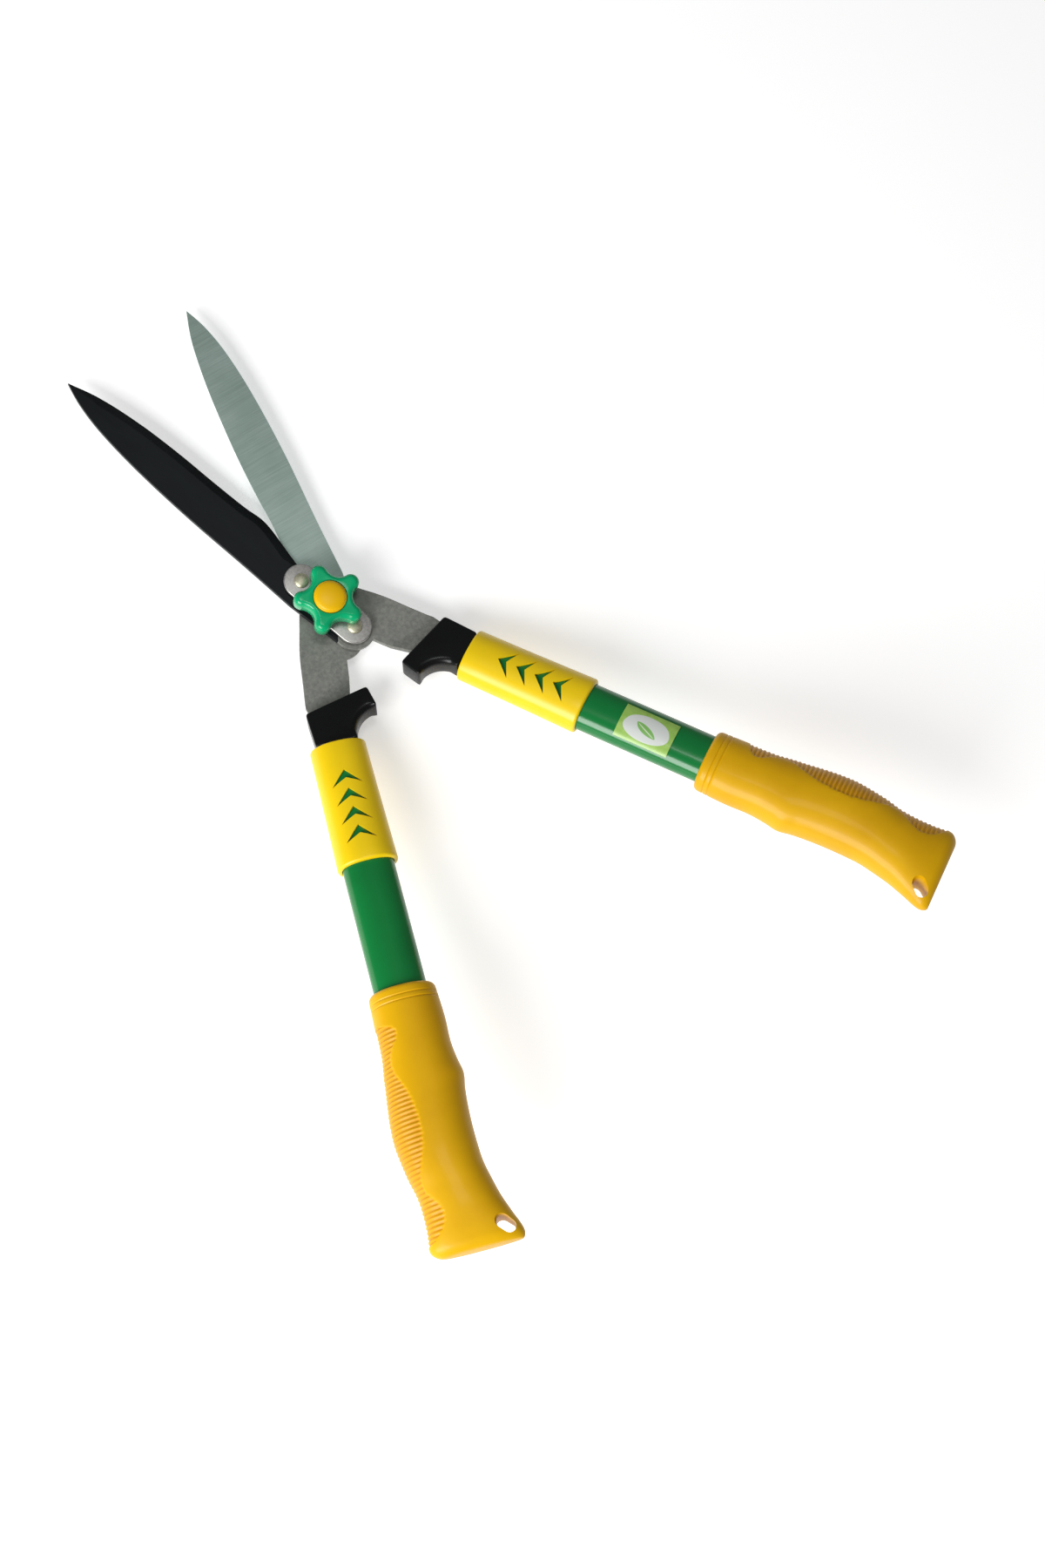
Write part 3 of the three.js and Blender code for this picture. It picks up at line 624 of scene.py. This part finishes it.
def handle_object(name, side, rings, closed, *rest, **more):
    verts, faces = loft(rings, closed)
    return new_object(name, handle_place(side, verts), faces, *rest, **more)


def handle_cutter(side, rings):
    verts, faces = loft(rings)
    return cutter_of(handle_place(side, verts), faces)


def prism(outline, heights_and_scales, centre):
    """Rings of an outline scaled about a centre at several heights, in a handle's frame."""
    p, c = np.array(outline, float), np.array(centre, float)
    return [np.column_stack([c + (p - c) * k, np.full(len(p), h)]) for h, k in heights_and_scales]


def make_tube(hand, side, body):
    """The oval tube with softened ends."""
    ease = 0.4
    steps = ((SEAT, -TUBE_WALL), (SEAT, -ease), (SEAT + ease, 0),
             (TUBE_END - ease, 0), (TUBE_END, -ease), (TUBE_END, -TUBE_WALL))
    rings = [tube_ring(s, g) for s, g in steps]
    handle_object(f"{hand}_tube_body", side, rings, True, GREEN_PAINT, body, "green_tube",
                  [f"{hand}_tube"])


def sleeve_rings():
    """The sleeve from its thin front lip to the thick rounded rear end."""
    lip, round_in = 0.35, 1.6
    start, end = SEAT + 0.1, SEAT + SLEEVE_LENGTH
    steps = [(start, FIT), (start, FIT + lip)]
    steps += [(start + 1 - math.cos(a), FIT + lip + (SLEEVE_FRONT - lip) * math.sin(a))
              for a in np.linspace(0.2, math.pi / 2, 5)]
    for s in (12.3, 31.7, 50.9, 66.1):
        swell = (SLEEVE_REAR - SLEEVE_FRONT) * (s / SLEEVE_LENGTH) ** 1.5
        steps.append((SEAT + s, FIT + SLEEVE_FRONT + swell))
    steps += [(end - round_in * (1 - math.sin(a)), FIT + 0.5 + (SLEEVE_REAR - 0.55) * math.cos(a))
              for a in np.linspace(0, 1.35, 6)]
    steps += [(end, FIT + 0.4), (end, FIT)]
    return [tube_ring(s, g, 120) for s, g in steps]


def chevron_cutters(side):
    """One mesh of all the chevrons, above and below."""
    verts, faces = [], []
    for i in range(CHEVRONS):
        tip = SEAT + (CHEVRON_FIRST + CHEVRON_PITCH * i) * SLEEVE_LENGTH
        arm = tip + CHEVRON_SWEEP
        outline = [(tip, 0), (arm, CHEVRON_SPAN), (tip + CHEVRON_STROKE, 0), (arm, -CHEVRON_SPAN)]
        for low, high in ((TUBE_H / 4, TUBE_H), (-TUBE_H, -TUBE_H / 4)):
            more, sides = loft(prism(outline, ((low, 1), (high, 1)), (tip, 0)))
            faces += [tuple(len(verts) + k for k in face) for face in sides]
            verts += list(more)
    return cutter_of(handle_place(side, np.array(verts)), faces)


def make_sleeve(hand, side, body):
    sleeve = handle_object(f"{hand}_sleeve_body", side, sleeve_rings(), True, YELLOW_SLEEVE, body,
                           "yellow_plastic", [f"{hand}_sleeve"])
    cut(sleeve, chevron_cutters(side))


# the grip's skin: place as a share of its length, then how far it stands out from the tube's
# outer side, inner side, and top and bottom
GRIP_SKIN = np.array([
    [0, 3.4, 3.9, 3.8], [0.14, 4, 4.7, 4.2], [0.25, 4.7, 4.4, 4.6], [0.31, 6, 5.4, 4.8],
    [0.36, 6.8, 6.6, 5], [0.42, 7.9, 5.3, 5.2], [0.5, 9, 4.3, 5.4], [0.57, 9.1, 4, 5.4],
    [0.63, 8.1, 4.1, 5.2], [0.7, 6.5, 4.7, 4.6], [0.76, 4.5, 6.4, 3.8], [0.83, 3.7, 8.8, 3],
    [0.895, 3.9, 12, 1.6], [0.965, 4.4, 15.6, -0.4], [1, 3, 16.2, -2]])
# where the smooth top of the grip ends and the ribbed side starts: [along, outward]
RIB_BORDER = np.array([
    [166, 24], [169, 14], [171, 10], [174, 8], [178, 9.2], [182, 12.4], [186, 14.4], [191, 15],
    [196, 14.2], [201, 12.2], [207, 10.2], [214, 8.8], [222, 8], [230, 8.3], [237, 9.6],
    [243, 11.8], [249, 14], [254, 14.8], [259, 13.8], [263, 11.2], [267, 8.6], [271, 7.6],
    [275, 8.2], [279, 10.6], [283, 15], [286, 24]])
RIB_PITCH = 2.5
GRIP_LEAD, GRIP_TAIL = 3.0, 5.0  # how far the rounding of each end reaches


def grip_stations():
    """Where the grip's rings stand between its rounded ends."""
    fine = list(np.arange(GRIP_START + 16, GRIP_END - GRIP_TAIL, RIB_PITCH / 6))
    front = [GRIP_START + GRIP_LEAD + i for i in range(0, 13)]
    grooves = [GRIP_START + at + d for at in GROOVES for d in (-0.7, -0.35, 0, 0.35, 0.7)]
    return sorted(set(np.round(front + grooves + fine, 3)))


def eased(x, xs, ys):
    """A smooth run through points that doesn't swing past them much."""
    i = int(np.clip(np.searchsorted(xs, x) - 1, 0, len(xs) - 2))
    slopes = np.gradient(ys, xs)
    width = xs[i + 1] - xs[i]
    t = min(1.0, max(0.0, (x - xs[i]) / width))
    start = (2 * t ** 3 - 3 * t * t + 1) * ys[i] + (t ** 3 - 2 * t * t + t) * width * slopes[i]
    end = (3 * t * t - 2 * t ** 3) * ys[i + 1] + (t ** 3 - t * t) * width * slopes[i + 1]
    return start + end


def grip_reach(s):
    """Handle axis to the grip's outer side, inner side and top at a station."""
    share = (s - GRIP_START) / GRIP_LENGTH
    outer, inner, high = (eased(share, GRIP_SKIN[:, 0], GRIP_SKIN[:, k]) for k in (1, 2, 3))
    return TUBE_W / 2 + outer, TUBE_W / 2 + inner, TUBE_H / 2 + high - 0.15


GRIP_AROUND = 128


def grip_ring(s, outer, inner, high, ribs=False):
    """One ring of the grip's skin and how deep in a groove each of its points lies, which sets the
    painted groove shade.
    """
    middle, half = (outer - inner) / 2, (outer + inner) / 2
    ring = np.array(oval_ring(s, half, high, GRIP_AROUND, middle))
    if not ribs:
        return ring, np.zeros(GRIP_AROUND)
    border = np.interp(s, RIB_BORDER[:, 0], RIB_BORDER[:, 1])
    mask = np.clip((ring[:, 1] - border) / 0.9 + 0.5, 0, 1)
    wave = 0.5 - 0.5 * math.cos(TAU * (s - GRIP_START) / RIB_PITCH)
    out = ring[:, 1:] - np.array([middle, 0.0])
    out /= np.linalg.norm(out, axis=1)[:, None]
    ring[:, 1:] -= out * (mask * (0.30 + 0.62 * wave))[:, None]
    return ring, mask * (0.35 + 0.65 * wave)


def grip_rings():
    """Bore, rounded front end, ribbed length and rounded tail, as rings with their marks for the
    painted groove shade.
    """
    bores = ((TUBE_END + FIT, FIT), (GRIP_START + 0.8, FIT), (GRIP_START, FIT + 0.6))
    out = [(np.array(tube_ring(s, g, GRIP_AROUND)), np.zeros(GRIP_AROUND)) for s, g in bores]
    for a in np.linspace(0.05, math.pi / 2, 8):
        s = GRIP_START + GRIP_LEAD * (1 - math.cos(a))
        less = 2.4 * (1 - math.sin(a))
        outer, inner, high = grip_reach(s)
        out.append(grip_ring(s, outer - less, inner - less, high - less))
    for s in grip_stations()[1:]:
        dip = sum(0.38 * max(0.0, 1 - abs(s - GRIP_START - at) / 0.6) for at in GROOVES)
        outer, inner, high = grip_reach(s)
        out.append(grip_ring(s, outer - dip, inner - dip, high - dip, True))
    for a in np.linspace(0.12, math.pi / 2 - 0.05, 10):
        s = GRIP_END - GRIP_TAIL + GRIP_TAIL * math.sin(a)
        drop = 1 - math.cos(a)
        outer, inner, high = grip_reach(s)
        out.append(grip_ring(s, outer - 5.6 * drop, inner - 2.6 * drop, high - 3.2 * drop))
    return out


def hang_hole_rings():
    """An oblong hole that opens out a little at both faces."""
    side_at = grip_reach(GRIP_END - HOLE_FROM_TAIL)[1]
    centre = (GRIP_END - HOLE_FROM_TAIL, HOLE_FROM_SIDE - side_at)
    right = arc((HOLE_HALF, 0), HOLE_RADIUS, -math.pi / 2, math.pi / 2, 16)
    left = arc((-HOLE_HALF, 0), HOLE_RADIUS, math.pi / 2, 1.5 * math.pi, 16)
    c, s = math.cos(HOLE_TURN), math.sin(HOLE_TURN)
    hole = [(centre[0] + x * c - y * s, centre[1] + x * s + y * c) for x, y in right + left]
    levels = ((-14, 1.5), (-8.5, 1.13), (-7.2, 1.04), (-6, 1),
              (6, 1), (7.2, 1.04), (8.5, 1.13), (14, 1.5))
    return prism(hole, levels, centre)


def make_grip(hand, side, body):
    marked = grip_rings()
    verts, faces = loft([ring for ring, _ in marked])
    ribbed = np.concatenate([mark for _, mark in marked])
    grip = new_object(f"{hand}_grip_body", handle_place(side, verts), faces, GRIP, body,
                      "orange_grip", [f"{hand}_grip"], sharp=50)
    # each point's share of the painted shade over the ribbed side and in the grooves
    mask = grip.data.attributes.new("ribbed", "FLOAT", "POINT")
    mask.data.foreach_set("value", ribbed.astype(np.float32))
    cut(grip, handle_cutter(side, hang_hole_rings()))


def bumper_face(along):
    """How far outward the bumper's face stands at a station, for the two faces to meet closed."""
    closing = math.tan(HALF_OPENING)
    slope = closing * math.cos(CRANK)
    lean = closing * math.sin(CRANK) * BOLSTER_THICK / 2
    meeting = closing * CRANK_AT + slope * (REACH + along * math.cos(SPLAY))
    across = OFFSET + along * math.sin(SPLAY)
    return (meeting + FIT / 2 + lean - across) / (math.cos(SPLAY) + slope * math.sin(SPLAY))


def bolster_outline():
    """The bolster's outline and how softly its edge is rounded at each point."""
    rear = BUMPER_REAR
    face_rear = bumper_face(-rear)
    drop = -face_rear - BOLSTER_INNER
    end = SEAT - FIT
    hollow_end = end - BOLSTER_HEEL
    centre = (hollow_end ** 2 + drop ** 2 - rear ** 2) / 2 / (rear + hollow_end)
    radius = centre + rear
    hollow = arc((centre, face_rear), radius, math.pi, math.acos((hollow_end - centre) / radius), 26)
    corners = [np.array([end, BOLSTER_OUTER]),
               np.array([-BOLSTER_LENGTH, BOLSTER_OUTER + BOLSTER_TAPER]),
               np.array([-BUMPER_FRONT, bumper_face(-BUMPER_FRONT)])]
    sharp = [*corners, *hollow, np.array([end, -BOLSTER_INNER])]
    outline, soft = [], []
    for i, p in enumerate(sharp):
        q = sharp[(i + 1) % len(sharp)]
        share = (i - len(corners)) / len(hollow)
        if 0 <= share < 1:
            outline.append(p)
            soft.append(min(1.0, 6 * share) * min(1.0, 6 * (1 - share)))
            continue
        steps = max(1, int(np.linalg.norm(q - p)))
        outline += [p + (q - p) * k / steps for k in range(steps)]
        soft += [0.0] * steps
    pts, soft = np.array(outline), np.array(soft)
    for _ in range(3):  # eases the corners
        pts = (np.roll(pts, 1, 0) + 2 * pts + np.roll(pts, -1, 0)) / 4
    return (pts, soft) if turns_left(pts) else (pts[::-1], soft[::-1])


def tang_slot(side):
    """The slot that the tang runs through, a fit wider all round."""
    (_, _), (s1, v1), (s2, v2), _ = TANG_INNER
    v3, v4 = TANG_OUTER[1][1], TANG_OUTER[2][1]
    run, flare, g = 37, 7.4, FIT
    outline = [(s1 + g - run, v1 - g - flare), (s1 + g, v1 - g), (s2 + g, v2 - g), (6, v2 - g),
               (6, v3 + g), (s2 + g, v3 + g), (s1 + g, v4 + g), (s1 + g - run, v4 + g + flare)]
    middle = side * (FIT + BLADE_THICK) / 2
    half = BLADE_THICK / 2 + FIT
    return prism(outline, ((middle - half, 1), (middle + half, 1)), (0, 0))


def make_bolster(hand, side, body):
    """The collar with its bumper arm: a broad round along the hollow side, small ones elsewhere."""
    outline, soft = bolster_outline()
    radius = 1.1 + 3.0 * soft
    edge = [(radius * (1 - math.cos(a)), radius * (1 - math.sin(a)))
            for a in np.linspace(0, math.pi / 2, 7)]
    rings = edged_plate(outline, -BOLSTER_THICK / 2, BOLSTER_THICK / 2, edge, edge)
    bolster = handle_object(f"{hand}_bolster_body", side, rings, False, BLACK_PLASTIC, body,
                            "black_plastic", [f"{hand}_bolster"])
    cut(bolster, handle_cutter(side, tang_slot(side)))


for hand, side, body in (("left", -1, "left_half"), ("right", 1, "right_half")):
    make_tube(hand, side, body)
    make_sleeve(hand, side, body)
    make_grip(hand, side, body)
    make_bolster(hand, side, body)


def make_label():
    """The film round the right tube, with each point's place on it for the print."""
    along, across = 40, 24
    verts, faces, places = [], [], []
    for grow in (FIT + LABEL_THICK, FIT):
        for i in range(along + 1):
            for j in range(across + 1):
                turn = LABEL_FROM + (LABEL_TO - LABEL_FROM) * j / across
                y, z = oval_point(TUBE_W / 2 + grow, TUBE_H / 2 + grow, turn)
                verts.append([LABEL_START + LABEL_LENGTH * i / along, y, z])
                places.append([i / along, j / across, 0])
    row, layer = across + 1, (along + 1) * (across + 1)
    for base in (0, layer):
        for i in range(along):
            for j in range(across):
                a = base + i * row + j
                faces.append((a, a + 1, a + row + 1, a + row))
    rim = [i * row for i in range(along + 1)] + [along * row + j for j in range(1, row)]
    rim += [i * row + across for i in range(along - 1, -1, -1)] + list(range(across - 1, 0, -1))
    for a, b in zip(rim, rim[1:] + rim[:1]):
        faces.append((a, b, b + layer, a + layer))
    label = new_object("label_film_strip", handle_place(1, np.array(verts)), faces, LABEL,
                       "right_half", "label_film", ["tube_label"])
    attribute = label.data.attributes.new("place", "FLOAT_VECTOR", "POINT")
    attribute.data.foreach_set("vector", np.array(places, np.float32).ravel())


make_label()


# ---- Pivot, lock and knob ----
BLADE_TOP = LIFT + FIT / 2 + BLADE_THICK
PLATE_BOTTOM = BLADE_TOP + FIT + SPACER_THICK + FIT
PLATE_TOP = PLATE_BOTTOM + PLATE_THICK
KNOB_BOTTOM = PLATE_TOP + FIT + RIVET_HEIGHT + FIT + FIT
KNOB_TOP = KNOB_BOTTOM + KNOB_HEIGHT
BORE = BOLT_RADIUS + FIT


def pivot_object(name, rings, closed, *rest, **more):
    verts, faces = loft(rings, closed)
    return new_object(name, np.array(verts) * MM, faces, *rest, **more)


def make_bolt():
    """The bolt: a domed head under the blades and a chamfered shank that ends in the knob."""
    shank_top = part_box("pivot_bolt")[1].z / MM
    dome = HEAD_RADIUS - HEAD_FLAT
    profile = [(0.11, 0.0), (HEAD_FLAT, 0.0)]
    profile += [(HEAD_FLAT + dome * math.sin(a), dome * (1 - math.cos(a)))
                for a in np.linspace(0.1, math.pi / 2, 9)]
    profile += [(HEAD_RADIUS, HEAD_HEIGHT - 0.3), (HEAD_RADIUS - 0.3, HEAD_HEIGHT),
                (BOLT_RADIUS, HEAD_HEIGHT), (BOLT_RADIUS, shank_top - BOLT_CHAMFER),
                (BOLT_RADIUS - BOLT_CHAMFER, shank_top), (0.0, shank_top)]
    pivot_object("pivot_bolt_turned", spun(profile), False, PLATE_STEEL, "right_half", "plain_steel",
                 ["pivot_bolt"])


def make_lock_plate():
    """The round-ended plate along the black blade's line."""
    stadium = arc((0, PLATE_HALF), PLATE_RADIUS, 0, math.pi, 40)
    stadium += arc((0, -PLATE_HALF), PLATE_RADIUS, math.pi, TAU, 40)
    outline = counter_clockwise([blade_point(p) for p in spaced(stadium, 1.2)])
    rings = edged_plate(outline, PLATE_BOTTOM, PLATE_TOP, rounding(0.7, 5), rounding(0.2, 2))
    pivot_object("lock_plate_pressed", rings, False, PLATE_STEEL, "right_half", "plain_steel",
                 ["lock_plate"])


def make_lock_rivet(place, node):
    """A domed rivet that stands on the plate and reaches into the blade."""
    foot, seat, rim = LIFT + 0.45, PLATE_TOP + FIT, 0.25
    profile = [(0.0, foot), (RIVET_SHANK, foot), (RIVET_SHANK, seat), (RIVET_HEAD - 0.2, seat),
               (RIVET_HEAD, seat + rim)]
    profile += [(RIVET_HEAD * math.cos(a), seat + rim + (RIVET_HEIGHT - rim) * math.sin(a))
                for a in np.linspace(0.1, math.pi / 2, 12)]
    pivot_object(f"{node}_domed", spun(profile, 48, blade_point((0, place))), False, RIVET_BRASS,
                 "right_half", "brassed_steel", [node])


def knob_outline():
    """Round lobes joined by hollows that run smoothly into them."""
    half = math.pi / KNOB_LOBES
    reach = KNOB_RADIUS - KNOB_LOBE
    across = reach * math.cos(half)
    apart = reach ** 2 + KNOB_NOTCH ** 2 - 2 * KNOB_NOTCH * across - KNOB_LOBE ** 2
    hollow = apart / 2 / (KNOB_LOBE + across - KNOB_NOTCH)
    centre = KNOB_NOTCH + hollow
    join = math.atan2(centre * math.sin(half), centre * math.cos(half) - reach)
    points = []
    for i in range(KNOB_LOBES):
        turn = KNOB_FIRST + 2 * half * i
        aside = turn + half
        at_lobe = (reach * math.cos(turn), reach * math.sin(turn))
        at_notch = (centre * math.cos(aside), centre * math.sin(aside))
        back, swing = aside + math.pi, join - half
        points += arc(at_lobe, KNOB_LOBE, turn - join, turn + join, 26)
        points += arc(at_notch, hollow, back + swing, back - swing, 26)[1:-1]
    return np.array(points)


def knob_rings():
    """From the bore out over the cap's seat and the puffed top, down the side and back under."""
    outline = knob_outline()
    around = len(outline)
    far = np.linalg.norm(outline, axis=1, keepdims=True)
    unit = outline / far
    inward = inward_normals(outline)
    puff = 2.6 + 0.9 * np.clip((far - KNOB_NOTCH) / 5.0, 0, 1)
    puff_height, base_round = 3.2, 1.6
    seat, seat_floor = CAP_RADIUS + FIT, KNOB_TOP - CAP_SEAT
    rings = []

    def flat_ring(xy, z):
        rings.append(np.column_stack([xy, np.full(around, z)]))

    flat_ring(unit * BORE, seat_floor)
    flat_ring(unit * seat, seat_floor)
    flat_ring(unit * seat, KNOB_TOP - 0.4)
    flat_ring(unit * (seat + 0.25), KNOB_TOP - 0.1)
    flat_ring(unit * (seat + 0.7), KNOB_TOP)
    for share in (0.35, 0.7):
        flat_ring(unit * (seat + 0.7) * (1 - share) + (outline + inward * puff) * share, KNOB_TOP)
    for a in np.linspace(math.pi / 2, 0, 9):
        z = KNOB_TOP - puff_height * (1 - math.sin(a))
        flat_ring(outline + inward * puff * (1 - math.cos(a)), z)
    for a in np.linspace(0.2, math.pi / 2, 5):
        z = KNOB_BOTTOM + base_round * (1 - math.sin(a))
        flat_ring(outline + inward * base_round * (1 - math.cos(a)), z)
    flat_ring(unit * 8, KNOB_BOTTOM)
    flat_ring(unit * BORE, KNOB_BOTTOM)
    return rings


def make_knob():
    """The knob, with the nut's hexagon pocket in its underside."""
    knob = pivot_object("knob_moulding", knob_rings(), True, GREEN_KNOB, "tension_knob",
                        "green_knob", ["knob_body"], sharp=40)
    hexagon = [(NUT_CORNER * math.cos(a), NUT_CORNER * math.sin(a))
               for a in (TAU * k / 6 for k in range(6))]
    levels = ((KNOB_BOTTOM - 1, 1), (KNOB_BOTTOM + NUT_THICK + 2 * FIT, 1))
    verts, faces = loft(prism(hexagon, levels, (0, 0)))
    cut(knob, cutter_of(np.array(verts) * MM, faces))


def make_cap():
    """The yellow cap: a rounded rim and a low dome."""
    low, high = (corner.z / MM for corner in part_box("knob_cap"))
    rim, edge, dome_radius = KNOB_TOP + FIT, 0.7, CAP_RADIUS - 0.7
    profile = [(0.0, low), (CAP_RADIUS - 0.2, low), (CAP_RADIUS, low + 0.2), (CAP_RADIUS, rim - 0.1)]
    profile += [(CAP_RADIUS - edge * (1 - math.cos(a)), rim - 0.1 + edge * math.sin(a))
                for a in np.linspace(0.2, math.pi / 2, 6)]
    top = rim + 0.6
    profile += [(dome_radius * math.cos(a), top + (high - top) * math.sin(a))
                for a in np.linspace(0.12, math.pi / 2, 14)]
    pivot_object("knob_cap_dome", spun(profile, 96), False, YELLOW_CAP, "tension_knob",
                 "yellow_plastic", ["knob_cap"], sharp=40)


make_bolt()
make_lock_plate()
make_lock_rivet(RIVET_AT, "lock_rivet_front")
make_lock_rivet(-RIVET_AT, "lock_rivet_rear")
make_knob()
make_cap()


# ---- Camera, floor and light ----
camera = bpy.data.objects.new("camera", bpy.data.cameras.new("camera"))
bpy.context.scene.collection.objects.link(camera)
forward = Vector((0.27404, 0.06534, -0.95950)).normalized()
right = Vector((0.77277, -0.60885, 0.17925))
right = (right - forward * right.dot(forward)).normalized()
up = right.cross(forward)
turn = Matrix((right, up, -forward)).transposed().to_4x4()
camera.matrix_world = Matrix.Translation((-0.30731, -0.22548, 1.18149)) @ turn
camera.data.lens = 50
camera.data.sensor_width = 36
bpy.context.scene.camera = camera

floor_mesh = bpy.data.meshes.new("floor")
floor_mesh.from_pydata([(-6, -6, 0), (6, -6, 0), (6, 6, 0), (-6, 6, 0)], [], [(0, 1, 2, 3)])
floor = bpy.data.objects.new("floor", floor_mesh)
floor.location = (0, 0, -0.001)
bpy.context.scene.collection.objects.link(floor)
paper = material("floor_paper", (0.92, 0.92, 0.92), 0.9)
paper_shader = paper.node_tree.nodes["Principled BSDF"]
paper_shader.inputs["Emission Color"].default_value = (1, 1, 1, 1)
paper_shader.inputs["Emission Strength"].default_value = 0.45
floor_mesh.materials.append(paper)


def area_light(name, place, aim, size, power):
    """A square soft light at a place, turned to its aim."""
    data = bpy.data.lights.new(name, "AREA")
    data.energy = power
    data.size = size
    light = bpy.data.objects.new(name, data)
    light.location = place
    light.rotation_euler = (Vector(aim) - Vector(place)).to_track_quat("-Z", "Y").to_euler()
    bpy.context.scene.collection.objects.link(light)


area_light("key", (-1.35, -0.35, 0.95), (0, -0.1, 0), 1.0, 33)
area_light("top", (0.05, 0.25, 1.7), (0, -0.1, 0), 0.4, 3)
world = bpy.data.worlds.new("studio")
bpy.context.scene.world = world
world.use_nodes = True
world.node_tree.nodes["Background"].inputs["Color"].default_value = (1, 1, 1, 1)
world.node_tree.nodes["Background"].inputs["Strength"].default_value = 0.17
bpy.context.scene.view_settings.view_transform = "Standard"
